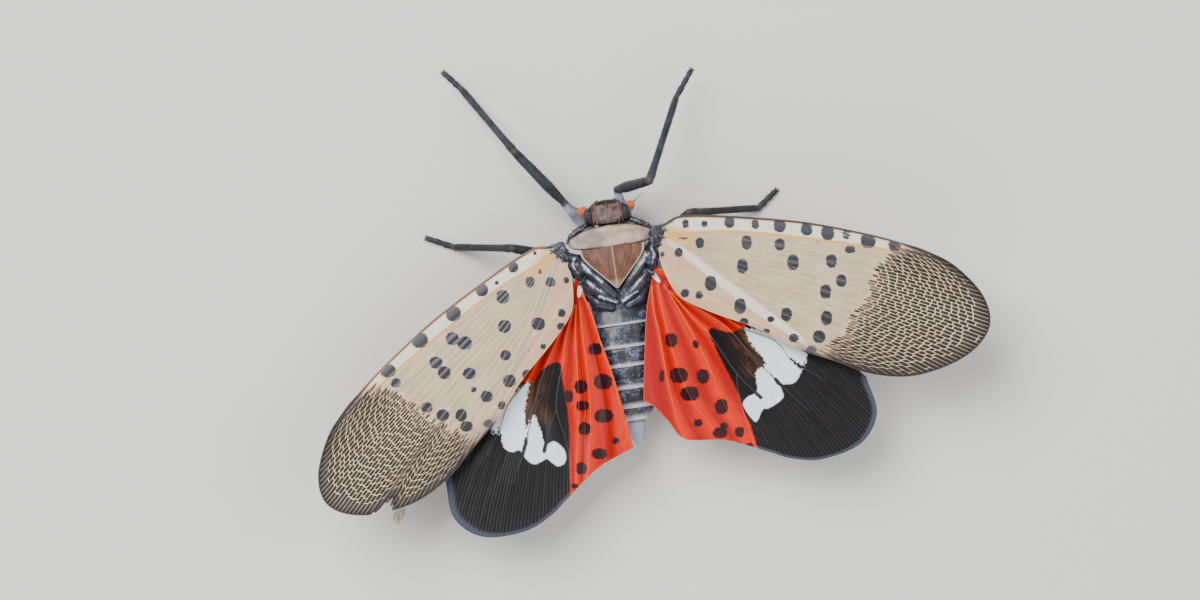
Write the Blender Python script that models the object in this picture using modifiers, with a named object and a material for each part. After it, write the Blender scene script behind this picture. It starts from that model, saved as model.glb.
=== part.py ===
"""A life-size spotted lanternfly, Lycorma delicatula, standing with its wings spread.

The insect's left is +X, its head points to -Y and its feet stand on the plane Z = 0.
Sizes are in millimetres from the middle of the pronotum's rear part; MM makes them metres.
"""

import math

import bmesh
import bpy
from mathutils import Vector

MM = 0.001
GAP = 0.30                 # clear space between pieces that meet
LEFT, RIGHT = 1, -1
SIDE_NAMES = {LEFT: "left", RIGHT: "right"}
UP = Vector((0.0, 0.0, 1.0))

# A section of the body is its place along it, middle height, half width, and the rise above and
# drop below that height.

# Head, eyes, antennae and beak
HEAD_SECTIONS = ((-1.30, 3.85, 0.95, 0.80, 0.95), (-1.50, 3.80, 1.22, 1.10, 1.22),
                 (-2.00, 3.75, 1.24, 1.22, 1.34), (-2.45, 3.68, 1.20, 1.24, 1.36),
                 (-2.72, 3.60, 1.08, 1.14, 1.20), (-2.84, 3.55, 0.86, 0.90, 0.95))
HEAD_SQUARENESS = 2.8
HEAD_CHIN = 0.35           # how much narrower the face is below than at its middle
EYE_CENTRE = (1.27, -1.84, 4.12)
EYE_RADII = (0.46, 0.68, 0.66)
SOCKET_CLEARANCE = 0.20
ANTENNA_CENTRE = (1.66, -2.30, 3.06)
ANTENNA_RADIUS = 0.38
ARISTA_LENGTH = 1.5
ARISTA_RADIUS = 0.11
ARISTA_RUN = (0.75, -0.55, 0.10)
BEAK_POINTS = ((0.0, -2.20, 1.88), (0.0, -0.60, 1.42), (0.0, 3.20, 1.22))
BEAK_RADII = (0.34, 0.27, 0.25)
BEAK_TIP_RADIUS = 0.12
BEAK_TIP_FROM = 0.9        # share of the rear joint's length where the tip begins
BEAK_JOINT_SWELL = 0.03

# Thorax and abdomen
PRONOTUM_REAR_Y = 0.42
# The pronotum's sections from its middle to one side: distance, front, rear, top and bottom
PRONOTUM_SECTIONS = ((0.0, -0.98, PRONOTUM_REAR_Y, 5.22, 2.30), (1.2, -0.88, 0.39, 5.12, 2.35),
                     (2.1, -0.84, 0.30, 4.86, 2.60), (2.7, -0.62, 0.14, 4.52, 3.05),
                     (3.0, -0.45, -0.10, 4.30, 3.55))
PRONOTUM_SQUARENESS = 3.6
NOTUM_FRONT_Y = PRONOTUM_REAR_Y + GAP
MESONOTUM_SECTIONS = ((NOTUM_FRONT_Y, 5.06, 2.20, 0.36, 0.10),
                      (NOTUM_FRONT_Y + 0.25, 5.06, 2.16, 0.62, 0.15), (1.55, 5.06, 1.78, 0.72, 0.15),
                      (2.20, 5.06, 1.18, 0.66, 0.15), (2.80, 5.06, 0.62, 0.50, 0.15),
                      (3.33, 5.01, 0.20, 0.26, 0.10))
THORAX_REAR_Y = 4.55
THORAX_SECTIONS = ((NOTUM_FRONT_Y, 3.15, 2.05, 1.10, 1.05), (1.15, 3.15, 2.40, 1.32, 1.22),
                   (2.50, 3.15, 2.40, 1.34, 1.25), (3.70, 3.15, 2.28, 1.36, 1.20),
                   (4.30, 3.05, 2.10, 1.30, 1.10), (THORAX_REAR_Y, 3.05, 1.90, 1.15, 1.00))
THORAX_SQUARENESS = 2.8
BODY_SQUARENESS = 2.2      # of the mesonotum and the abdomen
# Centre and radii of the left one of each pair of lobes on the thorax
THORAX_LOBES = (((1.72, 2.35, 4.30), (0.50, 0.95, 0.58)), ((1.05, 3.72, 4.25), (0.92, 0.72, 0.62)))
ABDOMEN_FRONT_Y = THORAX_REAR_Y + GAP
TERGITE_REARS = (6.04, 7.68, 9.05, 10.65, 12.03, 12.92)
TERGITE_STEP = 0.13        # how far each tergite's rear edge stands over the next one
TERGITE_LIP = 0.22         # length of that edge
TERGITE_STEP_RUN = 0.06    # and of the slope down from it
ABDOMEN_HALF_WIDTHS = (2.30, 2.45, 2.42, 2.22, 1.95, 1.55, 0.95)
ABDOMEN_HALF_HEIGHTS = (1.35, 1.60, 1.66, 1.56, 1.40, 1.15, 0.75)
ABDOMEN_MID_Z = 2.85
TAIL_Y = TERGITE_REARS[-1] + GAP
ANAL_TUBE_SECTIONS = ((TAIL_Y, 2.85, 0.62, 0.50, 0.50), (TAIL_Y + 0.6, 2.85, 0.55, 0.45, 0.48),
                      (TAIL_Y + 1.2, 2.80, 0.38, 0.32, 0.36), (TAIL_Y + 1.5, 2.77, 0.22, 0.20, 0.20))

# Wings
MEMBRANE = 0.50
VEIN_THICKNESS = 0.80
WING_STATIONS = 15         # rows of points between a wing's root and its margin
VEIN_FLANK = 0.38          # half the width of a vein's ridge at the margin
VEIN_ROOT_FLANK = 0.12     # and at the root, as a share of the way to the next vein
FOREWING_Z = 5.25
FOREWING_RISE = 0.07       # rise for each millimetre of span
FOREWING_ARCH = 0.30
FOREWING_ARCH_CHORD = 10.0
FOREWING_ARCH_MIDDLE = -1.6
HINDWING_Z = 4.40
HINDWING_RISE = 0.045
HINDWING_PLEAT = 0.12
WING_BASE_RADII = (0.58, 0.68, 0.42)
WING_BASE_Z = 5.32
WING_BASE_SINK = 0.8       # how much of its radius the wing base reaches short of its flat face
WING_STALK_ROOT = (2.32, 1.15, 4.30)
WING_STALK_RADII = (0.34, 0.36)
ABDOMEN_CLEARANCE = 0.50   # how far the hindwing is lifted over the abdomen's flank
CLEARANCE_FROM_X, CLEARANCE_TO_X = 2.70, 1.50

# Legs
LEG_SIDES = 8
COXA_RADII = ((0.0, 0.40), (0.5, 0.42), (1.0, 0.36))
FEMUR_RADII = ((0.0, 0.34), (0.25, 0.40), (0.75, 0.37), (1.0, 0.33))
TIBIA_RADII = ((0.0, 0.32), (0.10, 0.29), (0.5, 0.27), (0.9, 0.27), (1.0, 0.29))
TARSUS_RADII = ((0.0, 0.27), (0.3, 0.26), (0.36, 0.28), (0.7, 0.26), (1.0, 0.24))
FOOT_Z = 0.18
ANKLE_Z = 0.26
SPINE_LENGTH = 0.55
SPINE_RADIUS = 0.17
SPINE_LEAN = 0.6           # how far a spine leans to the foot, as a share of its length
SPINE_SINK = 0.2           # how far it reaches past both ends, as a share of its length
SPINE_TIP = 0.2            # radius of its tip, as a share of its root's
SPINE_PLACES = (0.30, 0.445, 0.59, 0.735, 0.88)

# Places of hip, trochanter, knee, ankle and toe; the right front foot is lifted for a step.
LEGS = {
    ("front", LEFT): ((1.45, -0.95, 1.78), (2.96, -3.19, 2.20), (5.92, -7.19, 4.10),
                      (9.19, -12.44, ANKLE_Z), (10.41, -13.90, FOOT_Z)),
    ("front", RIGHT): ((-1.20, -1.08, 1.80), (-0.98, -3.59, 2.05), (-3.28, -3.76, 6.20),
                       (-6.06, -9.51, 3.00), (-7.55, -11.49, 2.45)),
    ("mid", LEFT): ((1.95, 1.25, 1.45), (2.95, 0.90, 1.95), (7.02, -0.41, 4.00),
                    (11.27, -1.16, ANKLE_Z), (13.35, -2.16, FOOT_Z)),
    ("mid", RIGHT): ((-1.95, 1.25, 1.45), (-2.90, 0.85, 1.95), (-5.81, -1.18, 3.95),
                     (-10.92, -0.90, ANKLE_Z), (-12.52, -2.10, FOOT_Z)),
    ("hind", LEFT): ((1.55, 3.30, 1.45), (2.45, 3.90, 1.75), (5.00, 7.30, 3.35),
                     (6.70, 14.10, ANKLE_Z), (7.10, 16.20, FOOT_Z)),
    ("hind", RIGHT): ((-1.55, 3.30, 1.45), (-2.45, 3.90, 1.75), (-5.60, 6.90, 3.35),
                      (-8.30, 13.40, ANKLE_Z), (-9.20, 15.30, FOOT_Z)),
}

# Wing outlines as (span outwards, chord forwards) from the root. A vein is its share of the root
# edge, and where it meets the margin, in millimetres along it.
FOREWING = {
    "leading": ((0.45, 0.80), (1.3, 1.42), (4.0, 2.08), (9.6, 2.98), (14.5, 3.22), (18.6, 3.02), (20.8, 2.45)),
    "margin": ((20.8, 2.45), (23.2, 0.85), (24.1, -1.25), (22.9, -3.60), (20.0, -5.62), (17.0, -6.25),
               (14.2, -6.00), (11.8, -5.84)),
    "trailing": ((0.30, -1.15), (0.86, -2.37), (2.4, -4.00), (4.7, -4.60), (8.4, -5.02), (11.8, -5.84)),
    "veins": ((0.20, 2.4), (0.36, 6.2), (0.50, 10.0), (0.62, 14.2), (0.74, 18.3)),
}
HINDWING_LEADING = ((3.6, 3.1), (9.0, 5.75), (12.65, 6.85), (15.2, 7.35))
HINDWING_OUTER = ((15.2, 7.35), (17.6, 6.40), (18.6, 4.20), (17.8, 1.35), (16.4, -0.35), (15.0, -1.35),
                  (12.6, -3.15), (10.75, -5.40))
HINDWING_LOBE = ((9.0, -5.58), (7.6, -5.72), (6.75, -6.05))   # seen on the right hindwing alone
HINDWING_TRAILING = {
    LEFT: ((2.4, -1.30), (5.6, -3.05), (8.4, -4.35), HINDWING_OUTER[-1]),
    RIGHT: ((1.75, -1.85), (3.46, -3.35), (5.35, -4.92), HINDWING_LOBE[-1]),
}
HINDWING_VEINS = ((0.12, 2.2), (0.30, 5.6), (0.46, 9.0), (0.56, 11.5), (0.70, 14.0))
LOBE_VEIN = (0.86, 17.5)
# Root place, sweep behind square in degrees, and chord as seen, for each wing
WING_POSES = {
    ("forewing", LEFT): ((3.81, 0.18), 37.5, 0.92),
    ("forewing", RIGHT): ((3.44, -0.10), 21.4, 1.0),
    ("hindwing", LEFT): ((2.60, 2.90), 73.5, 1.0),
    ("hindwing", RIGHT): ((2.60, 2.70), 60.0, 1.0),
}
HINDWING_ROOT = ((2.62, 2.30), (2.52, 3.15))   # the edge that lies along the thorax

COLOURS = {
    "brown_cuticle": ((0.16, 0.075, 0.045), 0.45),
    "eye": ((0.012, 0.010, 0.012), 0.15),
    "orange_bulb": ((0.62, 0.11, 0.02), 0.45),
    "tan_shield": ((0.42, 0.29, 0.19), 0.55),
    "red_brown_shield": ((0.22, 0.085, 0.045), 0.45),
    "blue_black_cuticle": ((0.018, 0.022, 0.035), 0.28),
    "wax": ((0.42, 0.43, 0.55), 0.75),
    "tan_wing": ((0.52, 0.38, 0.24), 0.50),
    "red_wing": ((0.72, 0.035, 0.01), 0.50),
    "pale_leg": ((0.20, 0.22, 0.27), 0.45),
    "black_leg": ((0.014, 0.015, 0.018), 0.40),
}


def material(name):
    """A plain finish in one of the insect's colours."""
    if name in bpy.data.materials:
        return bpy.data.materials[name]
    colour, roughness = COLOURS[name]
    made = bpy.data.materials.new(name)
    made.use_nodes = True
    shader = made.node_tree.nodes["Principled BSDF"]
    shader.inputs["Base Color"].default_value = (*colour, 1.0)
    shader.inputs["Roughness"].default_value = roughness
    return made


def add_object(name, mesh, finish):
    """Puts a mesh in the insect's collection under its node name."""
    body = bpy.data.objects.new(name, mesh)
    mesh.materials.append(material(finish))
    for polygon in mesh.polygons:
        polygon.use_smooth = True
    insect.objects.link(body)
    return body


def closed_mesh(name, rings):
    """Joins rings of equal count into one closed skin, each end drawn to its middle point."""
    bm = bmesh.new()
    loops = [[bm.verts.new(Vector(point) * MM) for point in ring] for ring in rings]
    count = len(loops[0])
    for first, second in zip(loops, loops[1:]):
        for i in range(count):
            j = (i + 1) % count
            bm.faces.new((first[i], first[j], second[j], second[i]))
    for end in (loops[0], loops[-1]):
        middle = bm.verts.new(sum((v.co for v in end), Vector()) / count)
        for i in range(count):
            bm.faces.new((end[i], end[(i + 1) % count], middle))
    bmesh.ops.recalc_face_normals(bm, faces=bm.faces)
    bmesh.ops.triangulate(bm, faces=bm.faces)
    mesh = bpy.data.meshes.new(name)
    bm.to_mesh(mesh)
    bm.free()
    return mesh


def section(sides, power):
    """A rounded section of unit half width and height; a higher power makes it squarer."""
    points = []
    for i in range(sides):
        angle = 2 * math.pi * (i + 0.5) / sides
        across, up = math.cos(angle), math.sin(angle)
        points.append((math.copysign(abs(across) ** (2 / power), across),
                       math.copysign(abs(up) ** (2 / power), up)))
    return points


def loft(name, sections, sides=20, power=2.4, chin=0.0):
    """A body through sections along Y; a chin narrows the lower half of each by that share."""
    rings = []
    for y, mid_z, half, up, down in sections:
        rings.append([(a * half * (1 + chin * min(b, 0.0)), y, mid_z + b * (up if b > 0 else down))
                      for a, b in section(sides, power)])
    return closed_mesh(name, rings)


def ellipsoid(name, centre, radii, segments=16, rings=10):
    """A sphere stretched to three radii."""
    bm = bmesh.new()
    bmesh.ops.create_uvsphere(bm, u_segments=segments, v_segments=rings, radius=1.0)
    for vert in bm.verts:
        vert.co = Vector(centre[i] + vert.co[i] * radii[i] for i in range(3)) * MM
    bmesh.ops.triangulate(bm, faces=bm.faces)
    mesh = bpy.data.meshes.new(name)
    bm.to_mesh(mesh)
    bm.free()
    return mesh


def limb(name, start, end, radii, start_normal=None, end_normal=None, sides=LEG_SIDES, on_floor=False):
    """A straight tapered limb whose ends are mitred to the given planes, half a gap short of them."""
    start, end = Vector(start), Vector(end)
    along = (end - start).normalized()
    side = along.cross(UP).normalized()
    rise = side.cross(along)
    normals = {0: start_normal or along, len(radii) - 1: end_normal or along}
    rings = []
    for i, (fraction, radius) in enumerate(radii):
        centre = start.lerp(end, fraction)
        normal = Vector(normals.get(i, along)).normalized()
        shift = {0: GAP / 2, len(radii) - 1: -GAP / 2}.get(i, 0.0)
        ring = []
        for a, b in section(sides, 2.0):
            offset = side * a * radius + rise * b * radius
            slide = (shift - offset.dot(normal)) / along.dot(normal)
            point = centre + offset + along * slide
            if on_floor:
                point.z = max(point.z, 0.0)
            ring.append(point)
        rings.append(ring)
    return closed_mesh(name, rings)


def spine(name, root, tip, radius, sides=5):
    """A straight spine that tapers from a sunk root to a small blunt tip."""
    return limb(name, root, tip, ((0.0, radius), (1.0, radius * SPINE_TIP)), sides=sides)


def fuse(body, pieces, operation="UNION"):
    """Joins the pieces to a body, or cuts them from it, and keeps its largest closed surface."""
    cutters = bpy.data.collections.new(body.name + "_pieces")
    bpy.context.scene.collection.children.link(cutters)
    for piece in pieces:
        cutters.objects.link(bpy.data.objects.new(piece.name, piece))
    modifier = body.modifiers.new("join", "BOOLEAN")
    modifier.operation = operation
    modifier.operand_type = "COLLECTION"
    modifier.collection = cutters
    modifier.solver = "EXACT"
    graph = bpy.context.evaluated_depsgraph_get()
    joined = bpy.data.meshes.new_from_object(body.evaluated_get(graph))
    body.modifiers.remove(modifier)
    for piece in list(cutters.objects):
        bpy.data.objects.remove(piece)
    bpy.data.collections.remove(cutters)
    body.data = largest_surface(joined)


def largest_surface(mesh):
    """Drops every loose scrap but the surface with the most faces."""
    bm = bmesh.new()
    bm.from_mesh(mesh)
    bmesh.ops.triangulate(bm, faces=bm.faces)
    unseen = set(bm.faces)
    surfaces = []
    while unseen:
        front = [unseen.pop()]
        surface = list(front)
        while front:
            near = {f for edge in front.pop().edges for f in edge.link_faces} & unseen
            unseen -= near
            front.extend(near)
            surface.extend(near)
        surfaces.append(surface)
    surfaces.sort(key=len)
    scraps = [face for surface in surfaces[:-1] for face in surface]
    bmesh.ops.delete(bm, geom=scraps, context="FACES")
    bm.to_mesh(mesh)
    bm.free()
    return mesh


def build_head():
    """Short broad head with a steep face, sockets for the eyes, bulb antennae and a long beak."""
    head = add_object("head", loft("head", HEAD_SECTIONS, 24, HEAD_SQUARENESS, HEAD_CHIN), "brown_cuticle")
    sockets = []
    for side, label in SIDE_NAMES.items():
        eye_centre = (side * EYE_CENTRE[0], *EYE_CENTRE[1:])
        add_object("eye_" + label, ellipsoid("eye_" + label, eye_centre, EYE_RADII), "eye")
        bulb_centre = (side * ANTENNA_CENTRE[0], *ANTENNA_CENTRE[1:])
        build_antenna(label, side, bulb_centre)
        for centre, radii in ((eye_centre, EYE_RADII), (bulb_centre, (ANTENNA_RADIUS,) * 3)):
            socket = [radius + SOCKET_CLEARANCE for radius in radii]
            sockets.append(ellipsoid("socket", centre, socket, 20, 12))
    fuse(head, sockets, "DIFFERENCE")
    beak = [limb("beak", BEAK_POINTS[0], BEAK_POINTS[1], ((0, BEAK_RADII[0]), (1, BEAK_RADII[1])))]
    rear_radii = ((0, BEAK_RADII[1]), (BEAK_TIP_FROM, BEAK_RADII[2]), (1, BEAK_TIP_RADIUS))
    rear = limb("beak_rear", BEAK_POINTS[1], BEAK_POINTS[2], rear_radii)
    rostrum = add_object("rostrum", rear, "black_leg")
    joint = ellipsoid("beak_joint", BEAK_POINTS[1], (BEAK_RADII[1] + BEAK_JOINT_SWELL,) * 3, 10, 6)
    fuse(rostrum, beak + [joint])


def build_antenna(label, side, centre):
    """The swollen orange second joint under the eye, with its fine bristle."""
    centre = Vector(centre)
    bulb = add_object("antenna_" + label, ellipsoid("antenna_" + label, centre, (ANTENNA_RADIUS,) * 3, 14, 8),
                      "orange_bulb")
    outward = Vector((side * ARISTA_RUN[0], *ARISTA_RUN[1:])).normalized()
    root = centre + outward * (ANTENNA_RADIUS / 2)
    fuse(bulb, [spine("arista", root, root + outward * ARISTA_LENGTH, ARISTA_RADIUS)])


def build_thorax():
    """Pronotum, triangular mesonotum and the dark block that carries wings and legs."""
    rings = []
    shape = section(16, PRONOTUM_SQUARENESS)
    for side, rows in ((RIGHT, PRONOTUM_SECTIONS[::-1]), (LEFT, PRONOTUM_SECTIONS[1:])):
        for x, front, rear, top, bottom in rows:
            y, half_y, z, half_z = (front + rear) / 2, (rear - front) / 2, (top + bottom) / 2, (top - bottom) / 2
            rings.append([(side * x, y + a * half_y, z + b * half_z) for a, b in shape])
    add_object("pronotum", closed_mesh("pronotum", rings), "tan_shield")
    add_object("mesonotum", loft("mesonotum", MESONOTUM_SECTIONS, 20, BODY_SQUARENESS), "red_brown_shield")
    thorax = add_object("thorax", loft("thorax", THORAX_SECTIONS, 24, THORAX_SQUARENESS), "blue_black_cuticle")
    lobes = [ellipsoid("thorax_lobe", (side * x, y, z), radii, 12, 8)
             for side in (LEFT, RIGHT) for (x, y, z), radii in THORAX_LOBES]
    fuse(thorax, lobes)


def build_abdomen():
    """Stout abdomen of tergites, each one's rear edge standing over the next, and the anal tube."""
    sections = []
    fronts = (ABDOMEN_FRONT_Y, *TERGITE_REARS[:-1])
    for i, (front, rear) in enumerate(zip(fronts, TERGITE_REARS)):
        step_run = TERGITE_STEP_RUN if i else 0.0
        for place, at, proud in ((front + step_run, i, 0.0), (rear - TERGITE_LIP, i + 1, TERGITE_STEP),
                                 (rear, i + 1, TERGITE_STEP)):
            width, height = ABDOMEN_HALF_WIDTHS[at] + proud, ABDOMEN_HALF_HEIGHTS[at] + proud
            sections.append((place, ABDOMEN_MID_Z, width, height, height))
    add_object("abdomen", loft("abdomen", sections, 24, BODY_SQUARENESS), "blue_black_cuticle")
    add_object("anal_tube", loft("anal_tube", ANAL_TUBE_SECTIONS, 12), "wax")


class Path:
    """A smooth curve through points, read by its length from the start."""

    STEPS = 16

    def __init__(self, points):
        points = [Vector(point) for point in points]
        ends = [points[0] * 2 - points[1], *points, points[-1] * 2 - points[-2]]
        self.points = [points[0]]
        for p0, p1, p2, p3 in zip(ends, ends[1:], ends[2:], ends[3:]):
            for step in range(1, self.STEPS + 1):
                t = step / self.STEPS
                self.points.append(0.5 * (2 * p1 + (p2 - p0) * t + (2 * p0 - 5 * p1 + 4 * p2 - p3) * t * t
                                          + (3 * p1 - p0 - 3 * p2 + p3) * t ** 3))
        self.lengths = [0.0]
        for first, second in zip(self.points, self.points[1:]):
            self.lengths.append(self.lengths[-1] + (second - first).length)
        self.length = self.lengths[-1]

    def at(self, fraction):
        """The point at a fraction of the curve's length."""
        place = min(max(fraction, 0.0), 1.0) * self.length
        for i in range(1, len(self.points)):
            if self.lengths[i] >= place:
                span = self.lengths[i] - self.lengths[i - 1]
                return self.points[i - 1].lerp(self.points[i], (place - self.lengths[i - 1]) / span)
        return self.points[-1]


def wing_lines(veins, margin_length):
    """Lines from root to margin as (root fraction, margin fraction, is a vein), three to a vein."""
    ends = [(0.0, 0.0), *((root, mm / margin_length) for root, mm in veins), (1.0, 1.0)]
    flank = VEIN_FLANK / margin_length
    lines = [(0.0, 0.0, True)]
    for i, ((root, margin), (next_root, next_margin)) in enumerate(zip(ends, ends[1:])):
        root_flank = VEIN_ROOT_FLANK * (next_root - root)
        last = i == len(ends) - 2
        lines.append((root + root_flank, margin + flank, False))
        lines.append(((root + next_root) / 2, (margin + next_margin) / 2, False))
        if not last:
            lines.append((next_root - root_flank, next_margin - flank, False))
        lines.append((next_root, next_margin, not last))
    return lines


def wing_mesh(name, outline, veins, place):
    """A membrane between the four edges of its outline, with ridges along its main veins."""
    leading, margin, trailing = (Path(outline[edge]) for edge in ("leading", "margin", "trailing"))
    root = Path((outline["leading"][0], outline["trailing"][0]))
    corners = leading.at(0), trailing.at(0), leading.at(1), trailing.at(1)
    bm = bmesh.new()
    raised = bm.verts.layers.deform.verify()
    rows = []
    lines = wing_lines(veins, margin.length)
    for row in range(WING_STATIONS + 1):
        u = row / WING_STATIONS
        verts = []
        for root_fraction, margin_fraction, is_vein in lines:
            v = (root_fraction + margin_fraction) / 2
            sides = leading.at(u).lerp(trailing.at(u), v)
            ends = root.at(root_fraction).lerp(margin.at(margin_fraction), u)
            blend = corners[0].lerp(corners[1], v).lerp(corners[2].lerp(corners[3], v), u)
            span, chord = sides + ends - blend
            vert = bm.verts.new(place(span, chord, u if is_vein else -u) * MM)
            vert[raised][0] = 1.0 if is_vein else 0.0
            verts.append(vert)
        rows.append(verts)
    for row, (first, second) in enumerate(zip(rows, rows[1:])):
        for i in range(len(lines) - 1):
            near_like_corners = (row < WING_STATIONS / 2) == (i < len(lines) / 2)
            quad = [first[i], first[i + 1], second[i + 1], second[i]]
            if not near_like_corners:
                quad = quad[1:] + quad[:1]
            bm.faces.new((quad[0], quad[1], quad[2]))
            bm.faces.new((quad[0], quad[2], quad[3]))
    bmesh.ops.recalc_face_normals(bm, faces=bm.faces)
    if sum(face.normal.z for face in bm.faces) < 0:
        bmesh.ops.reverse_faces(bm, faces=bm.faces)
    mesh = bpy.data.meshes.new(name)
    bm.to_mesh(mesh)
    bm.free()
    return mesh


def forewing_height(span, chord):
    """The forewing rises along its span and arches across its chord."""
    arch = math.cos(math.pi * (chord - FOREWING_ARCH_MIDDLE) / FOREWING_ARCH_CHORD)
    return FOREWING_Z + FOREWING_RISE * span + FOREWING_ARCH * arch


def hindwing_height(span, x, pleat):
    """The hindwing is pleated along its veins and lifts over the abdomen's flank."""
    over = (CLEARANCE_FROM_X - abs(x)) / (CLEARANCE_FROM_X - CLEARANCE_TO_X)
    over = min(max(over, 0.0), 1.0)
    lift = ABDOMEN_CLEARANCE * over * over * (3 - 2 * over)
    return HINDWING_Z + HINDWING_RISE * span + lift + HINDWING_PLEAT * pleat


def build_wing(kind, side):
    """One wing in its pose, solid to the thickness of its membrane and veins."""
    (root_x, root_y), sweep, chord_seen = WING_POSES[(kind, side)]
    angle = math.radians(sweep)

    def to_body(span, chord):
        chord *= chord_seen
        x = root_x + span * math.cos(angle) + chord * math.sin(angle)
        y = root_y + span * math.sin(angle) - chord * math.cos(angle)
        return side * x, y

    def to_wing(place):
        across, back = place[0] - root_x, place[1] - root_y
        return (across * math.cos(angle) + back * math.sin(angle),
                across * math.sin(angle) - back * math.cos(angle))

    def place(span, chord, pleat):
        x, y = to_body(span, chord)
        if kind == "forewing":
            return Vector((x, y, forewing_height(span, chord)))
        return Vector((x, y, hindwing_height(span, x, pleat)))

    if kind == "forewing":
        outline, veins, finish = FOREWING, FOREWING["veins"], "tan_wing"
    else:
        edge_start, edge_end = (to_wing(corner) for corner in HINDWING_ROOT)
        outline = {"leading": (edge_start, *HINDWING_LEADING), "margin": HINDWING_OUTER,
                   "trailing": (edge_end, *HINDWING_TRAILING[side])}
        veins, finish = HINDWING_VEINS, "red_wing"
        if side == RIGHT:
            outline["margin"] += HINDWING_LOBE
            veins += (LOBE_VEIN,)
    name = f"{kind}_{SIDE_NAMES[side]}"
    wing = add_object(name, wing_mesh(name, outline, veins, place), finish)
    wing.vertex_groups.new(name="veins")
    solid = wing.modifiers.new("thickness", "SOLIDIFY")
    solid.thickness = VEIN_THICKNESS * MM
    solid.offset = 0.0
    solid.vertex_group = "veins"
    solid.thickness_vertex_group = MEMBRANE / VEIN_THICKNESS
    if kind == "forewing":
        build_wing_base(side, to_body)


def build_wing_base(side, to_body):
    """The bristly dark lump, on its stalk from the thorax, that faces the forewing's root."""
    edge_middle = [(FOREWING["leading"][0][i] + FOREWING["trailing"][0][i]) / 2 for i in range(2)]
    x, y = to_body(*edge_middle)
    outward = (Vector((*to_body(1.0, 0.0), 0.0)) - Vector((*to_body(0.0, 0.0), 0.0))).normalized()
    root = Vector((x, y, WING_BASE_Z))
    centre = root - outward * (GAP + WING_BASE_RADII[0] * WING_BASE_SINK)
    label = "wing_base_" + SIDE_NAMES[side]
    lump = add_object(label, ellipsoid(label, centre, WING_BASE_RADII, 14, 10), "blue_black_cuticle")
    stalk_root = Vector((side * WING_STALK_ROOT[0], *WING_STALK_ROOT[1:]))
    fuse(lump, [limb("stalk", stalk_root, centre, tuple(enumerate(WING_STALK_RADII)))])
    bm = bmesh.new()
    bm.from_mesh(lump.data)
    geometry = [*bm.verts, *bm.edges, *bm.faces]
    cut = bmesh.ops.bisect_plane(bm, geom=geometry, plane_co=(root - outward * GAP) * MM, plane_no=outward,
                                 clear_outer=True)
    rim = [item for item in cut["geom_cut"] if isinstance(item, bmesh.types.BMEdge)]
    bmesh.ops.contextual_create(bm, geom=rim)
    bmesh.ops.triangulate(bm, faces=bm.faces)
    bm.to_mesh(lump.data)
    bm.free()


def build_leg(pair, side):
    """Coxa, femur, tibia and tarsus, mitred where they meet; the hind tibia bears spines."""
    points = [Vector(point) for point in LEGS[(pair, side)]]
    runs = [(second - first).normalized() for first, second in zip(points, points[1:])]
    mitres = [runs[0], *((a + b).normalized() for a, b in zip(runs, runs[1:])), runs[-1]]
    lifted = (pair, side) == ("front", RIGHT)
    pieces = (("coxa", COXA_RADII, "pale_leg"), ("femur", FEMUR_RADII, "black_leg"),
              ("tibia", TIBIA_RADII, "black_leg"), ("tarsus", TARSUS_RADII, "black_leg"))
    for i, (piece, radii, finish) in enumerate(pieces):
        name = f"{piece}_{pair}_{SIDE_NAMES[side]}"
        mesh = limb(name, points[i], points[i + 1], radii, mitres[i], mitres[i + 1],
                    on_floor=piece == "tarsus" and not lifted)
        made = add_object(name, mesh, finish)
        if piece == "tibia" and pair == "hind":
            outward = runs[i].cross(UP).normalized() * side
            spines = []
            reach = (outward + runs[i] * SPINE_LEAN) * SPINE_LENGTH
            for share in SPINE_PLACES:
                root = points[i].lerp(points[i + 1], share)
                sunk, tip = root - reach * SPINE_SINK, root + reach * (1 + SPINE_SINK)
                spines.append(spine("spine", sunk, tip, SPINE_RADIUS))
            fuse(made, spines)


def centre_on_origin():
    """Moves the whole insect so that the middle of its outer box is over the origin."""
    graph = bpy.context.evaluated_depsgraph_get()
    points = []
    for body in insect.objects:
        shaped = body.evaluated_get(graph)
        points.extend(shaped.matrix_world @ Vector(corner) for corner in shaped.bound_box)
    shift = [-(min(p[i] for p in points) + max(p[i] for p in points)) / 2 for i in range(2)]
    for body in insect.objects:
        body.location = (*shift, 0.0)


for old in list(bpy.data.objects):
    bpy.data.objects.remove(old)
insect = bpy.data.collections.new("spotted_lanternfly")
bpy.context.scene.collection.children.link(insect)
build_head()
build_thorax()
build_abdomen()
for wing_kind, wing_side in WING_POSES:
    build_wing(wing_kind, wing_side)
for leg_pair, leg_side in LEGS:
    build_leg(leg_pair, leg_side)
centre_on_origin()
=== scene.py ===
"""The looks of a life-size spotted lanternfly, Lycorma delicatula, over its solid model.

Sizes are millimetres in the insect's own frame: +X is its left, +Y its tail, Z = 0 the floor and
the origin the middle of the pronotum's rear part. metres() turns them into the model's frame.
"""

import math
import random

import bmesh
import bpy
import numpy as np
from mathutils import Matrix, Vector


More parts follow.
